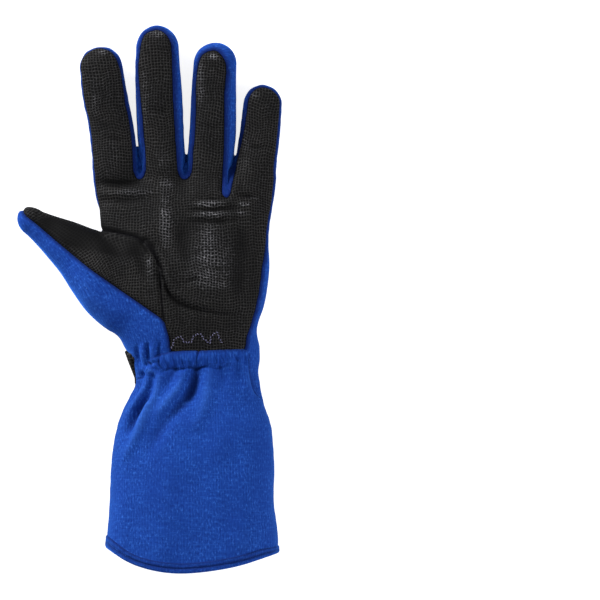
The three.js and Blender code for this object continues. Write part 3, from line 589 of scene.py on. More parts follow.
def cut(rows, faces, value):
    """Cuts a skin where value crosses zero. A face with one corner on its own side becomes a
    triangle there and two on the other; every new corner lies on an edge, by proportion."""
    value = np.where(np.abs(value) < NEAR_CUT, np.where(value < 0, -NEAR_CUT, NEAR_CUT), value)
    inside = value > 0
    count = inside[faces].sum(1)
    mixed = faces[(count == 1) | (count == 2)]
    lone_in = inside[mixed].sum(1) == 1
    first = (inside[mixed] == lone_in[:, None]).argmax(1)
    corner = (first[:, None] + np.arange(3)) % 3
    a, b, c = np.take_along_axis(mixed, corner, 1).T
    pairs = np.sort(np.concatenate([np.stack([a, b], 1), np.stack([a, c], 1)]), axis=1)
    edges, number = np.unique(pairs, axis=0, return_inverse=True)
    low, high = edges.T
    share = (value[low] / (value[low] - value[high]))[:, None]
    added = rows[low] + share * (rows[high] - rows[low])
    ab, ac = number.reshape(2, -1) + len(rows)
    lone = np.stack([a, ab, ac], 1)
    others = np.concatenate([np.stack([ab, b, c], 1), np.stack([ab, c, ac], 1)])
    lone_in2 = np.concatenate([lone_in, lone_in])
    kept = np.concatenate([faces[count == 3], lone[lone_in], others[~lone_in2]])
    left = np.concatenate([faces[count == 0], lone[~lone_in], others[lone_in2]])
    return np.concatenate([rows, added]), kept, left


def packed(rows, faces):
    """The skin without the points that no face uses."""
    used, number = np.unique(faces, return_inverse=True)
    return rows[used], number.reshape(faces.shape)


def largest(rows, faces):
    """The largest connected part of a skin: every point takes its neighbours' lowest number
    until nothing changes."""
    label = np.arange(len(rows))
    while True:
        low = label[faces].min(1)
        new = label.copy()
        np.minimum.at(new, faces.ravel(), low.repeat(3))
        new = new[new]
        if (new == label).all():
            break
        label = new
    best = np.bincount(label[faces[:, 0]]).argmax()
    return packed(rows, faces[label[faces[:, 0]] == best])


def rim(faces):
    """Directed edges that have no partner: the open border of a skin."""
    a = faces.ravel()
    b = np.roll(faces, -1, 1).ravel()
    size = faces.max() + 1
    alone = ~np.isin(a * size + b, b * size + a)
    return a[alone], b[alone]


def spread(points, faces, start):
    """Distance over the skin from the start values, passed on along the edges."""
    a = faces.ravel()
    b = np.roll(faces, -1, 1).ravel()
    length = np.linalg.norm(points[a] - points[b], axis=1)
    distance = start.copy()
    for _ in range(SPREAD_ROUNDS):
        np.minimum.at(distance, b, distance[a] + length)
        np.minimum.at(distance, a, distance[b] + length)
    return distance


def lay_flat(points, faces, way, start):
    """A coordinate that grows along way at one millimetre per millimetre: least squares over
    all edges, solved by conjugate gradients from a first guess."""
    a = faces.ravel()
    b = np.roll(faces, -1, 1).ravel()
    count = len(points)
    target = ((points[b] - points[a]) * (way[a] + way[b]) / 2).sum(1)
    degree = np.bincount(a, minlength=count) + np.bincount(b, minlength=count)

    def pull(v):
        return degree * v - np.bincount(a, v[b], count) - np.bincount(b, v[a], count)

    value = start.copy()
    rest = np.bincount(b, target, count) - np.bincount(a, target, count) - pull(value)
    move = rest / degree
    power = rest @ move
    for _ in range(FLAT_ROUNDS):
        pulled = pull(move)
        step = power / (move @ pulled)
        value += step * move
        rest -= step * pulled
        eased = rest / degree
        power, last = rest @ eased, power
        move = eased + power / last * move
    return value


def grain(points):
    """The way the cloth's grain runs: along +Y on hand and cuff, along each digit on it."""
    x, y, z = points.T
    way = np.zeros((len(points), 3))
    way[:, 1] = 0.25
    for digit in fingers + [thumb]:
        along, _ = digit.place(x, y)
        near = np.exp(-np.maximum(digit.gap(x, y, z), 0) / 2.0)
        from_root = smooth_step(6, 34, along) if digit is not thumb else smooth_step(20, 62, along)
        way[:, :2] += (near * from_root)[:, None] * digit.heading
    return unit(way)


def add_object(name, data):
    """An object in the scene for a mesh, lamp or camera."""
    made = bpy.data.objects.new(name, data)
    bpy.context.scene.collection.objects.link(made)
    return made


def new_object(name, points, faces, cloth, seam, finish, fold_shading=0.0):
    """A mesh from points in millimetres. Each point carries the cloth's own coordinates, its distance
    from the nearest seam or from a line painted as shade, the painted highlight or shade of the grip
    there, and how high the folds raise it, which the finishes paint as shade in the hollows and as
    highlight on the ridges."""
    mesh = bpy.data.meshes.new(name)
    mesh.from_pydata(points * MM, [], faces)
    place = np.column_stack([cloth, seam]).astype(np.float32)
    mesh.attributes.new("cloth", "FLOAT_VECTOR", "POINT").data.foreach_set("vector", place.ravel())
    shine_and_shade = grip_shine_and_shade_at(points[:, 0], points[:, 1]).astype(np.float32)
    mesh.attributes.new("shine_and_shade", "FLOAT", "POINT").data.foreach_set("value", shine_and_shade)
    fold_shading = np.broadcast_to(fold_shading, len(points)).astype(np.float32)
    mesh.attributes.new("fold_shading", "FLOAT", "POINT").data.foreach_set("value", fold_shading)
    mesh.polygons.foreach_set("use_smooth", np.ones(len(mesh.polygons), bool))
    mesh.materials.append(finish)
    mesh.update()
    piece = add_object(name, mesh)
    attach(piece, "root")
    return piece


def seam_start(points, mouth):
    """What each point of a panel's border starts from: nothing where black grip meets blue
    knit, more where knit meets knit, and out of reach on the hidden seams: those that climb
    the sides of the finger ends, and the edge under the hem."""
    x, y, z = points.T
    off_palm = inset(palm_outline(), x, y) < -0.7
    off_thumb = inset(thumb_outline(), x, y) < -0.7
    start = np.where(off_palm & off_thumb, SOFT_SEAM, 0.0)
    hidden = off_palm & (z > FINGER_BACK_SEAM + 1.0) & (y > 84.0)
    if mouth:
        hidden |= y < hem_height(x) + 6.0
    return np.where(hidden, FAR_FROM_SEAM, start)


def sew(name, rows, faces, finish, slot, groove=1.0, mouth=False, seam_scale=1.0):
    """A panel with its wall: the outer face with its folds, turned in along every seam, an
    inner face one cloth's thickness below, and a border that joins the two."""
    rows, faces = largest(rows, faces)
    points, normals, raised = rows[:, :3], unit(rows[:, 3:6]), rows[:, 6]
    a, b = rim(faces)
    start = np.full(len(points), FAR_FROM_SEAM)
    start[a] = seam_start(points[a], mouth)
    seam = spread(points, faces, start)
    turned_in = groove * np.exp(-((seam / GROOVE_WIDTH) ** 2))
    turned_in -= ROLL_SHARE * groove * np.exp(-(((seam - ROLL_AT) / ROLL_WIDTH) ** 2))
    near_edge = np.exp(-(((seam - PUCKER_AT) / PUCKER_WIDTH) ** 2))
    pucker = PUCKER_RISE * ripple(points, PUCKER_SIZE, 11) * near_edge
    clear = smooth_step(0.0, 2.5, points[:, 2])
    outer = points + normals * (raised - turned_in + pucker * clear)[:, None]
    outer[:, 2] = np.maximum(outer[:, 2], 0.0)
    inner = points + normals * (np.minimum(raised, 0) - CLOTH)[:, None]
    way = grain(points)
    along = unit(way - (way * normals).sum(1)[:, None] * normals)
    across = np.cross(along, normals)
    u = lay_flat(points, faces, across, points[:, 0])
    v = lay_flat(points, faces, along, points[:, 1])
    # On the grip the crease round the ball of the thumb joins the seam distance, so the finish paints
    # it as a dark line of shade
    if slot == "grip":
        seam = np.minimum(seam, crease_gap(points[:, 0], points[:, 1]) * 1.5 + 0.2)
    count = len(points)
    border = np.stack([b, a, a + count, b + count], 1)
    walls = np.concatenate([border[:, :3], border[:, [0, 2, 3]]])
    skin_faces = np.concatenate([faces, faces[:, ::-1] + count, walls])
    cloth = np.column_stack([np.tile(u, 2), np.tile(v, 2)])
    points = np.concatenate([outer, inner])
    seam = np.tile(seam * seam_scale, 2)
    piece = new_object(name, points, skin_faces, cloth, seam, finish, np.tile(raised, 2))
    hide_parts(name)


# outlines
def palm_outline():
    """The palm with the finger fronts, in plan."""
    return smooth_line(PALM_OUTLINE, 3, True)


def thumb_outline():
    """The thumb's grip in plan: its outer edge, past the tip, and back down the palm's seam."""
    edge = smooth_line(THUMB_EDGE, 6)
    seam = palm_outline()[: 3 * len(THUMB_SEAM) - 2][::-1]
    return np.concatenate([edge, [(-72.0, 84.0), (-44.0, 84.0), (-36.0, 47.0)], seam[:-1]])


def gauntlet_outline():
    """The cuff's palm side in plan: the casing, the right side seam, and round beyond the hem."""
    line = smooth_line(CASING_LINE, 6)[::-1]
    side = smooth_line(RIGHT_SIDE_SEAM, 6)[3:]
    beyond = [(120, -74), (120, -200), (-60, -200), (-60, -58), (-14, -50)]
    return np.concatenate([line, side, beyond])


def gusset_outline():
    """The thumb's blue side in plan: from the grip's edge out past the thumb to the casing."""
    edge = smooth_line(THUMB_EDGE, 6)
    beyond = [(-100, 60), (-100, -58), (-14, -50), (-4.4, -47.0), (8.0, -37.0), (14.0, -36.0)]
    return np.concatenate([edge, beyond])


def back_thumb_outline():
    """The thumb's back in plan, left of the seam that runs up its root."""
    return np.concatenate([smooth_line(BACK_THUMB_SEAM, 7), [(-100, -29), (-100, 64), (-40, 64)]])


def hem_height(x):
    """The hem line's y at x."""
    line = smooth_line(HEM_LINE, 20)
    return np.interp(x, line[:, 0], line[:, 1])


def gap_outline(near, far):
    """The strip of plan between two fingers' centre lines, from the palm to past their tips."""
    sides = []
    for digit in (near, far):
        line = digit.root + np.outer(digit.along, digit.heading) + np.outer(digit.offset, digit.side)
        sides.append(np.concatenate([line[:1] - [0, 14], line, line[-1:] + 30 * digit.heading]))
    return np.concatenate([sides[0], sides[1][::-1]])


def side_seam(near, far, x, y, z):
    """Height of the seam between a finger's side wall and the back: level, then climbing to
    meet the palm's seam before the fingertip."""
    shares = [digit.place(x, y)[0] / digit.along[-1] for digit in (near, far)]
    share = np.where(near.gap(x, y, z) < far.gap(x, y, z), *shares)
    return FINGER_BACK_SEAM + 16.0 * smooth_step(0.76, 1.04, share)


# finishes
class Wire:
    """A shader value: arithmetic on it adds the Math nodes."""

    def __init__(self, finish, socket):
        self.finish = finish
        self.socket = socket

    def math(self, operation, *others):
        return self.finish.node("ShaderNodeMath", {"operation": operation}, [self, *others])

    def __add__(self, other):
        return self.math("ADD", other)

    def __mul__(self, other):
        return self.math("MULTIPLY", other)

    def __sub__(self, other):
        return self.math("SUBTRACT", other)

    def __rsub__(self, other):
        return self.finish.node("ShaderNodeMath", {"operation": "SUBTRACT"}, [other, self])

    def __truediv__(self, other):
        return self.math("DIVIDE", other)

    __radd__ = __add__
    __rmul__ = __mul__


class Finish:
    """One material round a Principled shader."""

    def __init__(self, name, **constants):
        self.material = bpy.data.materials.new(name)
        self.material.use_nodes = True
        self.tree = self.material.node_tree
        self.shader = self.tree.nodes["Principled BSDF"]
        for socket, value in constants.items():
            self.shader.inputs[socket.replace("_", " ")].default_value = value

    def node(self, kind, settings=None, inputs=(), output=0):
        """Adds a node, sets its settings, then fills its sockets by place or by name."""
        made = self.tree.nodes.new(kind)
        for key, value in (settings or {}).items():
            setattr(made, key, value)
        pairs = inputs.items() if isinstance(inputs, dict) else enumerate(inputs)
        for key, value in pairs:
            if isinstance(value, Wire):
                self.tree.links.new(value.socket, made.inputs[key])
            else:
                made.inputs[key].default_value = value
        return Wire(self, made.outputs[output])

    def feed(self, socket, wire):
        """Links a value to a socket of the shader."""
        self.tree.links.new(wire.socket, self.shader.inputs[socket])

    def cloth(self):
        """Across the grain, along it, and distance from the nearest seam or from a line painted as
        shade, all in millimetres.
        """
        place = self.node("ShaderNodeAttribute", {"attribute_name": "cloth"}, output="Vector")
        return [self.node("ShaderNodeSeparateXYZ", inputs=[place], output=i) for i in range(3)]

    def noise(self, u, v, wide, tall, detail=2.0, lift=0.0):
        """Noise from 0 to 1 whose grains are wide by tall millimetres."""
        place = self.node("ShaderNodeCombineXYZ", inputs=[u / wide, v / tall, lift])
        inputs = {"Vector": place, "Scale": 1.0, "Detail": detail, "Roughness": 0.55}
        return self.node("ShaderNodeTexNoise", {}, inputs)

    def step(self, value, low, high, to_low=0.0, to_high=1.0):
        """The smooth step of a value, from to_low at low to to_high at high."""
        settings = {"interpolation_type": "SMOOTHSTEP"}
        return self.node("ShaderNodeMapRange", settings, [value, low, high, to_low, to_high])

    def mix(self, share, one, two):
        """A colour: one, with its share of two."""
        settings = {"data_type": "RGBA"}
        return self.node("ShaderNodeMix", settings, {"Factor": share, 6: one, 7: two}, output=2)

    def bump(self, height, distance, strength=1.0):
        """Feeds the shader's normal from a height, distance millimetres deep."""
        inputs = {"Strength": strength, "Distance": distance * MM, "Height": height}
        self.feed("Normal", self.node("ShaderNodeBump", {}, inputs))


def colour(red, green, blue):
    """Linear colour from display values of 0 to 255."""
    share = np.array([red, green, blue]) / 255
    return (*np.where(share < 0.04045, share / 12.92, ((share + 0.055) / 1.055) ** 2.4), 1.0)


# Millimetres from rib to rib of the knit, and from line to line of the palm's and strap's net
RIB_PITCH, GRIP_PITCH, STRAP_PITCH = 1.7, 1.76, 1.8


def knit_finish():
    """Blue rib knit: faint fine ribs along the grain, heathered with short paler and darker
    fibres, darker where it is turned in at a seam, partly its tighter turned edge and partly
    painted shade in the groove, with painted shade in the hollows of its folds and a painted
    highlight on their ridges."""
    f = Finish(
        "blue_knit", Roughness=0.9, Specular_IOR_Level=0.08,
        Sheen_Weight=1.0, Sheen_Roughness=0.4, Sheen_Tint=colour(60, 130, 240),
    )
    u, v, seam = f.cloth()
    wander = f.noise(u, v, 12.0, 30.0) - 0.5
    rib_place = (u + wander * 2.4) * (2 * np.pi / RIB_PITCH)
    rib = rib_place.math("COSINE") * 0.5 + 0.5
    patch = f.step(f.noise(u, v, 9.0, 14.0, 2.0, 5.0), 0.35, 0.65)
    rib = rib * (patch * 0.6 + 0.4)
    dashes = f.noise(u, v, 0.9, 2.2, 2.0)
    bright = f.step(dashes, 0.54, 0.72)
    deep = f.step(dashes, 0.47, 0.30)
    slub = f.step(f.noise(u, v, 7.5, 1.0, 2.0, 7.0), 0.50, 0.72)
    fleck = f.step(f.noise(u, v, 0.9, 1.0, 1.0, 13.0), 0.74, 0.80)
    cloud = f.noise(u, v, 20.0, 34.0, 2.0, 3.0)
    base = f.mix(rib * 0.5, colour(16, 52, 130), colour(30, 74, 162))
    base = f.mix(deep * 0.75, base, colour(9, 36, 108))
    base = f.mix(slub * 0.32, base, colour(40, 92, 186))
    base = f.mix(bright * 0.55, base, colour(54, 108, 204))
    base = f.mix(fleck * 0.4, base, colour(96, 146, 226))
    base = f.mix(f.step(cloud, 0.35, 0.7) * 0.4, base, colour(16, 48, 126))
    fold_shading = f.node("ShaderNodeAttribute", {"attribute_name": "fold_shading"}, output="Fac")
    # Painted shade in the hollows of folds and a painted highlight on their ridges, from their height
    base = f.mix(f.step(fold_shading, -0.4, -4.0) * 0.62, base, colour(6, 22, 76))
    base = f.mix(f.step(fold_shading, 0.5, 3.4) * 0.24, base, colour(62, 116, 212))
    # Dark line along seams: partly the darker turned-in edge, partly painted shade in the groove; on
    # the casing and binding also painted shade in dents and grooves
    base = f.mix(f.step(seam, 0.2, 2.6, 0.85, 0.0), base, colour(9, 22, 76))
    f.feed("Base Color", base)
    f.bump(rib * 0.35 + dashes * 0.6 + slub * 0.2, 0.3, 0.8)
    return f.material


def grip_lines(f, u, v, pitch):
    """A net of raised lines pitch apart over wider holes; its rows run in long soft waves."""
    shift_across = f.noise(u, v, 30.0, 18.0, 2.0, 1.0) - 0.5
    shift_along = f.noise(u, v, 17.0, 34.0, 2.0, 9.0) - 0.5
    across = ((u + shift_across * 5.0) / pitch).math("PINGPONG", 0.5) * 2.0
    along = ((v + shift_along * 9.0) / pitch).math("PINGPONG", 0.5) * 2.0
    return f.step(across, 0.52, 0.94), f.step(along, 0.48, 0.92)


def grip_finish(name, pitch):
    """Black grip cloth: a fine raised net over dark holes, with painted highlights and glints along its
    lines in some patches, and painted shade over a flatter net in others; painted shade also darkens
    the hollows of its folds, the thumb's crease and the grooves of its seams."""
    f = Finish(name, Specular_IOR_Level=0.10)
    u, v, seam = f.cloth()
    shine_and_shade = f.node("ShaderNodeAttribute", {"attribute_name": "shine_and_shade"}, output="Fac")
    up, over = grip_lines(f, u, v, pitch)
    net = up.math("MAXIMUM", over)
    knot = up * over
    fold_shading = f.node("ShaderNodeAttribute", {"attribute_name": "fold_shading"}, output="Fac")
    wave = f.noise(u, v, 22.0, 5.0, 2.0, 6.0) - 0.5
    # Painted highlight: where the table raises it, the net's lines turn paler and glint
    painted_shine = f.step(shine_and_shade * (wave * 2.4 + 1.0), 0.05, 1.2)
    # Painted shade over a flatter net: where the table lowers it, the lines turn near black and the
    # bump fades
    pressed = f.step(shine_and_shade, -0.05, -0.95)
    tone = f.noise(u, v, 18.0, 22.0, 2.0, 4.0)
    speck = f.noise(u, v, 1.6, 1.1, 2.0, 2.0)
    line = f.mix(f.step(tone, 0.3, 0.7), colour(26, 26, 26), colour(38, 37, 36))
    # Painted glints on the net's lines, faint everywhere and stronger in the painted highlight patches
    glint = f.step(speck, 0.44, 0.70) * (painted_shine * 0.55 + 0.07)
    # Painted highlight: paler net lines
    line = f.mix(painted_shine * 0.6, line, colour(80, 80, 84))
    line = f.mix(glint, line, colour(160, 160, 165))
    # Painted shade: near-black net lines
    line = f.mix(pressed * 0.95, line, colour(6, 6, 7))
    # Painted shade in the hollows of folds
    line = f.mix(f.step(fold_shading, -0.2, -1.6) * 0.8, line, colour(9, 9, 10))
    base = f.mix(net * 0.85 + knot * 0.15, colour(4, 4, 5), line)
    # Dark line along seams and the thumb's crease: painted shade in the crease, and at the seams partly
    # their dark edge, partly painted shade in the groove
    base = f.mix(f.step(seam, 0.0, 1.5, 0.95, 0.0), base, colour(6, 6, 9))
    f.feed("Base Color", base)
    f.feed("Roughness", 0.85 - net * 0.3)
    f.bump((net * 0.8 + knot * 0.3) * (1.0 - pressed * 0.92), 0.26, 0.9)
    return f.material


def thread_finish():
    """Pale blue twisted thread."""
    f = Finish("pale_thread", Roughness=0.6, Sheen_Weight=0.2)
    u, v, _ = f.cloth()
    twist = ((u * 2.0 + v * 1.2) * 6.0).math("COSINE") * 0.5 + 0.5
    f.feed("Base Color", f.mix(twist, colour(56, 54, 88), colour(118, 116, 156)))
    f.bump(twist, 0.06)
    return f.material


# pieces carried on the form
def top_point(x, y):
    """The point of the outer face above each x, y: halving between the air and the middle."""
    low, high = np.full(x.shape, 9.0), np.full(x.shape, 75.0)
    for _ in range(HALVINGS):
        middle = (low + high) / 2
        inside = cloth_gap(x, y, middle) < 0
        low, high = np.where(inside, middle, low), np.where(inside, high, middle)
    points = np.stack([x, y, (low + high) / 2], 1)
    normals = unit(slope_of(points)[1])
    return points, normals


def body_point(turn, y):
    """A point of the body's section at y, at a turn of 0 to 1 from the right, anticlockwise."""
    centre, half, base, top = body_section(y)
    middle = base + (top - base) * MIDDLE_SHARE
    c, s = np.cos(turn * 2 * np.pi), np.sin(turn * 2 * np.pi)
    across = half * np.sign(c) * np.abs(c) ** (2 / ROUNDNESS)
    rise = np.sign(s) * np.abs(s) ** (2 / ROUNDNESS)
    lower = np.maximum(base, middle + (middle - base) * PRESS * rise)
    up = np.where(rise > 0, middle + (top - middle) * rise, lower)
    points = np.stack([centre + across, y, up], 1)
    return points, unit(slope_of(points)[1])


def grid_faces(long, round_, close_long=False):
    """Squares between the rows and columns of a grid of points, as triangles. The columns
    close into a ring, and so do the rows where close_long says so."""
    rows, columns = np.arange(long if close_long else long - 1), np.arange(round_)
    i, j = np.meshgrid(rows, columns, indexing="ij")
    i2, j2 = (i + 1) % long, (j + 1) % round_
    a, b, c, d = (p * round_ + q for p, q in ((i, j), (i2, j), (i2, j2), (i, j2)))
    halves = [np.stack([a, b, c], -1).reshape(-1, 3), np.stack([a, c, d], -1).reshape(-1, 3)]
    return np.concatenate(halves)


def outward(points, faces):
    """Turns every face over where the closed skin would hold a negative volume."""
    p, q, r = (points[faces[:, i]] for i in range(3))
    volume = (p * np.cross(q, r)).sum()
    return faces if volume > 0 else faces[:, ::-1]


def with_caps(values, at_cap=0.0):
    """The values of a tube's points, and one for the middle of each of its two caps."""
    return np.append(values, [at_cap, at_cap])


def capped(points, faces, long, round_):
    """Closes both ends of a tube with a fan round the mean of its end ring."""
    first, last = np.arange(round_), np.arange(round_) + (long - 1) * round_
    ends = np.stack([points[first].mean(0), points[last].mean(0)])
    n = len(points)
    fans = [
        np.stack([np.full(round_, n), first, np.roll(first, -1)], 1),
        np.stack([np.full(round_, n + 1), np.roll(last, -1), last], 1),
    ]
    return np.concatenate([points, ends]), np.concatenate([faces, *fans])


# Section of the binding: out of the cloth, and up from the hem line
HEM_PROFILE = [
    (-0.3, 6.2), (0.4, 5.9), (0.75, 5.1), (0.8, 4.2), (0.65, 3.4), (0.2, 2.98), (0.2, 2.78),
    (0.7, 2.35), (0.9, 1.5), (0.8, 0.7), (0.3, 0.1), (-0.6, -0.2), (-1.9, 0.0), (-2.7, 0.8),
    (-2.9, 2.0), (-2.75, 4.0), (-2.6, 5.8), (-1.6, 6.2),
]


def hem_binding(finish):
    """The double-rolled edge round the mouth: its section carried round the cuff, wider at
    the thumb side than at the other, and flat where it lies on the floor."""
    profile = smooth_line(HEM_PROFILE, 3, True)
    steps, sides = 520, len(profile)
    turn = (np.arange(steps) / steps).repeat(sides)
    out, up = np.tile(profile, (steps, 1)).T
    rough = body_point(turn, np.full(turn.shape, HEM_MIDDLE))[0][:, 0]
    tall = up * (1 + 0.3 * smooth_step(-6, -25, rough) - 0.25 * smooth_step(66, 77, rough))
    centre, half, _, _ = body_section(hem_height(rough) + tall)
    at_end = smooth_step(0.86, 0.99, np.abs(rough - centre) / half) * (out > 0.1)
    out = out + at_end * (0.7 * smooth_step(-0.4, 1.2, up) * smooth_step(6.6, 5.0, up) - out)
    points, normals = body_point(turn, hem_height(rough) + tall)
    points[:, 1] = hem_height(points[:, 0]) + tall
    wavy = relief(points, normals) + 0.1 * ripple(points, 5.0, 17)
    points = points + normals * (out + wavy)[:, None]
    points[:, 2] = np.maximum(points[:, 2], np.where(out > -1.0, 0.0, CLOTH * 0.9))
    faces = outward(points, grid_faces(steps, sides, True))
    cloth = np.column_stack([turn * 300, np.tile(np.arange(sides) * 0.5, steps)])
    # Dark lines along the groove between the two rolls and along the upper edge where the binding meets
    # the cuff: partly the sewn lines, partly painted shade in the groove
    line = np.minimum(np.abs(up - 2.88) + 0.5, np.abs(6.2 - up) + 0.2)
    seam = np.where(out > -0.35, line, 5.0)
    piece = new_object("hem_binding", points, faces, cloth, seam, finish)
    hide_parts("hem_binding")


# Dents of the gathered casing: share of its length, depth, width, slant, and how far each
# belongs to the lower edge (above 0) or to the upper one (below 0)
CASING_DENTS = [
    (0.050, 0.7, 0.010, 0.030, 0.3), (0.140, 1.5, 0.012, 0.045, 0.8), (0.205, 0.6, 0.010, 0.045, 0.2),
    (0.272, 1.6, 0.011, 0.035, 0.9), (0.332, 1.3, 0.010, 0.020, 0.9), (0.415, 0.4, 0.012, 0.0, 0.2),
    (0.510, 1.3, 0.016, -0.020, -0.4), (0.590, 0.5, 0.010, 0.0, 0.8), (0.665, 0.8, 0.011, 0.0, 0.9),
    (0.740, 0.5, 0.010, 0.0, 0.8), (0.810, 0.8, 0.012, 0.0, 0.8), (0.880, 1.7, 0.014, -0.03, 0.5),
    (0.955, 1.0, 0.014, 0.0, 0.0),
]
# Share of its line that it takes, half widths above and below, height, depth in the cloth
CASING = {"reach": 0.9, "upper": 4.5, "lower": 5.0, "tall": 1.9, "sunk": 1.2}


def elastic_casing(finish):
    """The gathered channel over the elastic: a low band with a crisp upper edge that falls
    softly into the cuff below, pressed in by slanted dents."""
    line = smooth_line(CASING_LINE, 40)
    length = way_along(line)
    steps, sides = 320, 36
    share = np.linspace(0, 1, steps)
    gone = share * length[-1] * CASING["reach"]
    centre = np.stack([np.interp(gone, length, line[:, i]) for i in range(2)], 1)
    heading = unit(np.gradient(centre, axis=0))
    side = np.stack([-heading[:, 1], heading[:, 0]], 1)
    angle = 2 * np.pi * np.arange(sides) / sides
    lateral, arch = np.cos(angle), np.sin(angle)
    along, across = np.meshgrid(share, lateral, indexing="ij")
    dents = np.zeros(along.shape)
    for at, deep, wide, slant, low_edge in CASING_DENTS:
        bell = np.exp(-(((along - at + slant * across) / wide) ** 2))
        dents += deep * bell * (1 + low_edge * across) / (1 + abs(low_edge))
    ends = np.sqrt(np.clip(1 - (np.abs(share - 0.5) * 2) ** 22, 0, 1))[:, None]
    edge = np.where(across < 0, CASING["upper"] - 0.12 * dents, CASING["lower"] - 0.5 * dents)
    flat = (centre[:, None] + side[:, None] * (edge * across * ends)[..., None]).reshape(-1, 2)
    points, normals = top_point(flat[:, 0], flat[:, 1])
    crisp = np.sqrt(np.clip(1 - np.abs(lateral) ** 3, 0, 1))
    soft = 1 - smooth_step(0.0, 0.95, lateral)
    section = np.where(lateral < 0, crisp, soft)
    puff = CASING["tall"] + 0.9 * np.exp(-(((along - 0.92) / 0.05) ** 2)) - dents
    tall = np.where(arch > 1e-6, puff * section, -CASING["sunk"] * np.abs(arch) ** 0.7)
    tall = tall * ends - 0.25
    folds = relief(points, normals)
    points = points + normals * (tall.ravel() + folds * 0.7)[:, None]
    # The height handed on for shading is lowered in the dents, so the finish paints shade in them
    folds = with_caps(folds - 2.2 * dents.ravel())
    points, faces = capped(points, grid_faces(steps, sides), steps, sides)
    faces = outward(points, faces)
    cloth = np.column_stack([with_caps(gone.repeat(sides)), with_caps(np.tile(angle * 1.6, steps))])
    # A dark line along the crisp upper edge, partly its sewn edge and partly painted shade there,
    # darker still with painted shade in the dents
    near_edge = np.where((arch > 0) & (lateral < 0), (1 + lateral) * 4.0 + 0.7, 5.0)
    seam = with_caps(np.clip(np.tile(near_edge, steps) - 0.9 * dents.ravel(), 0.4, 9), 5.0)
    piece = new_object("elastic_casing", points, faces, cloth, seam, finish, folds)
    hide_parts("elastic_casing")


# The strap: y of its edges, turns that it runs from and to, gap to the cloth, thickness,
# length of its round end, and how much narrower it is drawn beside the thumb
STRAP = {
    "upper": -30.8, "lower": -55.8, "from": 0.385, "to": 0.925,
    "clear": 0.4, "thick": 1.6, "end": 12.0, "drawn": 0.2,
}
# Where the strap comes out of the gathers: y, then the turn round the wrist
STRAP_START = [(-51.0, 0.482), (-35.0, 0.440), (-33.2, 0.454), (-30.8, 0.50)]
# The strap's outline where it shows beside the wrist: y, then x
STRAP_EDGE = [(-51.0, -7.0), (-49.0, -8.4), (-31.0, -15.2)]


def wrist_strap(finish):
    """The strap round the back of the wrist: a flat band with folded, thicker edges and a
    round free end, carried round the body's section. Beside the thumb it is drawn tight and
    narrow, and comes out from under the gathers."""
    steps, across = 260, 44
    ring = 2 * across
    angle = 2 * np.pi * (np.arange(ring) + 0.5) / ring
    lane = np.cos(angle)
    face = np.sin(angle)
    share = np.linspace(0, 1, steps)
    turn = STRAP["from"] + (STRAP["to"] - STRAP["from"]) * share
    middle = (STRAP["upper"] + STRAP["lower"]) / 2
    half = (STRAP["upper"] - STRAP["lower"]) / 2
    spot, _ = body_point(turn, np.full(steps, middle))
    gone = way_along(spot)
    left = gone[-1] - gone
    narrow = np.sqrt(np.clip(1 - np.clip(1 - left / STRAP["end"], 0, 1) ** 2, 0.0004, 1))
    y = (middle + half * narrow[:, None] * np.sign(lane) * np.abs(lane)[None, :] ** 0.62).ravel()
    turns = turn.repeat(ring)
    beside = smooth_step(0.17, 0.07, np.abs(turns - 0.5))
    rim_gap = half * narrow.repeat(ring) - np.abs(y - middle)
    y = STRAP["upper"] - (STRAP["upper"] - y) * (1 - STRAP["drawn"] * beside)
    points, normals = body_point(turns, y)
    outer = np.tile(smooth_step(-0.12, 0.12, face), steps)
    folded = 0.45 * smooth_step(3.6, 2.8, rim_gap)
    centre, wide, _, _ = body_section(y)
    drawn = np.maximum(centre - wide - np.interp(y, *np.transpose(STRAP_EDGE)), 0.6)
    top = STRAP["clear"] + STRAP["thick"] + folded
    top += (drawn - top) * beside
    out_of = np.interp(y, *np.transpose(STRAP_START))
    risen = smooth_step(out_of - 0.016, out_of + 0.014, turns)
    top = top * risen + (np.minimum(relief(points, normals), 0) - 1.3) * (1 - risen)
    away = top - STRAP["thick"] * (0.35 + 0.65 * risen) * (1 - outer)
    away += 0.1 * ripple(points, 9.0, 23) * outer * (1 - beside)
    points = points + normals * away[:, None]
    points[:, 2] = np.maximum(points[:, 2], np.where(outer > 0.5, 0.0, 0.9))
    points, faces = capped(points, grid_faces(steps, ring), steps, ring)
    faces = outward(points, faces)
    cloth = np.column_stack([with_caps(gone.repeat(ring)), with_caps(y)])
    seam = with_caps(np.abs(rim_gap - 3.2) + 0.35, 1.0)
    piece = new_object("wrist_strap", points, faces, cloth, seam, finish)
    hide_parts("wrist_strap")


# The loose row of stitches, in plan
PALM_STITCH = [
    (13.5, -29.6), (14.9, -24.9), (17.2, -22.6), (19.1, -23.0), (21.4, -25.8), (24.7, -25.8),
    (26.6, -22.6), (28.9, -20.7), (31.2, -21.6), (33.1, -24.0), (35.9, -26.3), (37.3, -22.1),
    (39.2, -20.3), (41.0, -20.7), (42.4, -24.5), (43.8, -26.8),
]


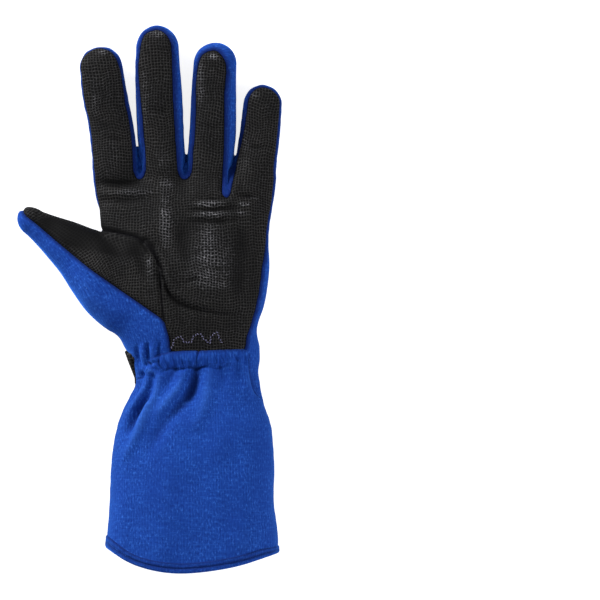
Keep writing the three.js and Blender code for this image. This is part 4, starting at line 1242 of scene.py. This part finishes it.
def palm_stitches(finish):
    """A loose wavy row of overlocked thread: short tubes that dip into the grip cloth between
    one stitch and the next."""
    line = smooth_line(PALM_STITCH, 60)
    steps, sides = len(line), 6
    gone = way_along(line)
    heading = unit(np.gradient(line, axis=0))
    side = np.stack([-heading[:, 1], heading[:, 0]], 1)
    line = line + side * (0.45 * np.sin(gone * 2 * np.pi / 2.3))[:, None]
    points, normals = top_point(line[:, 0], line[:, 1])
    lift = relief(points, normals) - 0.1 + 0.38 * np.sin(gone * 2 * np.pi / 1.6)
    centre = points + normals * lift[:, None]
    tangent = unit(np.gradient(centre, axis=0))
    aside = unit(np.cross(normals, tangent))
    angle = 2 * np.pi * np.arange(sides) / sides
    tube = centre[:, None] + 0.24 * (
        np.cos(angle)[None, :, None] * aside[:, None] + np.sin(angle)[None, :, None] * normals[:, None]
    )
    points, faces = capped(tube.reshape(-1, 3), grid_faces(steps, sides), steps, sides)
    faces = outward(points, faces)
    cloth = np.column_stack([with_caps(gone.repeat(sides)), with_caps(np.tile(angle, steps))])
    seam = np.full(len(points), FAR_FROM_SEAM)
    piece = new_object("palm_stitches", points, faces, cloth, seam, finish)


def make_panels(knit, grip):
    """Cuts the hollow form along its seams, one panel after the other, and sews each."""
    points, quads = skin(NET_LOW, NET_HIGH, GRID_STEP)
    points = relax(points, quads, RELAX_ROUNDS)
    faces = two_triangles(quads, points)
    normals = unit(slope_of(points)[1])
    raised = relief(points, normals)
    rows = np.column_stack([points, normals, raised])
    rows, faces, _ = cut(rows, faces, rows[:, 1] - hem_height(rows[:, 0]) - HEM_GAP)

    def take(faces, outline, lowest, also=None):
        """Takes what lies inside an outline and above a height, and all inside also."""
        nonlocal rows
        x, y, z = rows[:, :3].T
        value = np.minimum(inset(outline, x, y), z - (lowest(x, y, z) if callable(lowest) else lowest))
        if also is not None:
            value = np.maximum(value, inset(also, x, y))
        rows, kept, left = cut(rows, faces, value)
        return kept, left

    palm, rest = take(faces, palm_outline(), PALM_LOWEST)
    thumb_front, rest = take(rest, thumb_outline(), THUMB_LOWEST)
    cuff, rest = take(rest, gauntlet_outline(), GAUNTLET_LOWEST)
    gusset, rest = take(rest, gusset_outline(), GUSSET_LOWEST, back_thumb_outline())
    sew("palm_panel", rows, palm, grip, "grip")
    sew("thumb_palm", rows, thumb_front, grip, "grip")
    sew("gauntlet_front", rows, cuff, knit, "knit", 0.8, True)
    sew("thumb_gusset", rows, gusset, knit, "knit")
    names = ["fourchette_index_middle", "fourchette_middle_ring", "fourchette_ring_little"]
    for name, near, far in zip(names, fingers, fingers[1:]):
        wall, rest = take(rest, gap_outline(near, far), lambda *place: side_seam(near, far, *place))
        sew(name, rows, wall, knit, "knit", 0.7, seam_scale=0.5)
    sew("back_panel", rows, rest, knit, "knit", 0.7, True, 0.75)


# the stage and its camera
# Height over the floor, level that is in true size, width of the picture there, and the
# place in plan, all in metres
CAMERA = {"height": 9.0, "level": 0.02, "picture": 0.360, "over": (0.0903, -0.0006)}
SKY_STRENGTH = 0.49
FLOOR_GLOW = 0.80
FLOOR_HALF = 12.0
WHITE = (1.0, 1.0, 1.0, 1.0)
FLOOR_GREY = (0.62, 0.62, 0.62, 1.0)
# name, place in metres, power, width
LAMPS = [("key", (-1.3, 1.15, 0.47), 55.0, 0.7), ("fill", (1.35, -0.3, 0.8), 18.0, 1.0)]


def floor_and_light():
    """A white floor that stays bright to the camera, a pale sky, one broad key light low on
    the upper left and a weaker fill from the right."""
    mesh = bpy.data.meshes.new("floor")
    corners = [(x * FLOOR_HALF, y * FLOOR_HALF, 0) for x, y in ((-1, -1), (1, -1), (1, 1), (-1, 1))]
    mesh.from_pydata(corners, [], [(0, 1, 2, 3)])
    f = Finish(
        "white_floor", Base_Color=FLOOR_GREY, Emission_Color=WHITE,
        Roughness=0.9, Specular_IOR_Level=0.05,
    )
    f.feed("Emission Strength", f.node("ShaderNodeLightPath") * FLOOR_GLOW)
    mesh.materials.append(f.material)
    floor = add_object("floor", mesh)
    floor.location.z = -0.0003
    world = bpy.data.worlds.new("sky")
    world.use_nodes = True
    sky = world.node_tree.nodes["Background"]
    sky.inputs["Color"].default_value = WHITE
    sky.inputs["Strength"].default_value = SKY_STRENGTH
    bpy.context.scene.world = world
    for name, place, power, wide in LAMPS:
        lamp = bpy.data.lights.new(name, "AREA")
        lamp.energy = power
        lamp.size = wide
        made = add_object(name, lamp)
        made.location = place
        made.rotation_euler = (-Vector(place)).to_track_quat("-Z", "Y").to_euler()


def camera():
    """Looks straight down, with the glove in the left half of the picture."""
    data = bpy.data.cameras.new("camera")
    data.sensor_width = 36.0
    data.lens = data.sensor_width * (CAMERA["height"] - CAMERA["level"]) / CAMERA["picture"]
    data.clip_end = 4 * CAMERA["height"]
    made = add_object("camera", data)
    made.location = (*CAMERA["over"], CAMERA["height"])
    bpy.context.scene.camera = made
    bpy.context.scene.view_settings.view_transform = "Standard"


camera()
floor_and_light()
knit = knit_finish()
grip = grip_finish("black_grip", GRIP_PITCH)
make_panels(knit, grip)
elastic_casing(knit)
hem_binding(knit)
wrist_strap(grip_finish("strap_grip", STRAP_PITCH))
palm_stitches(thread_finish())
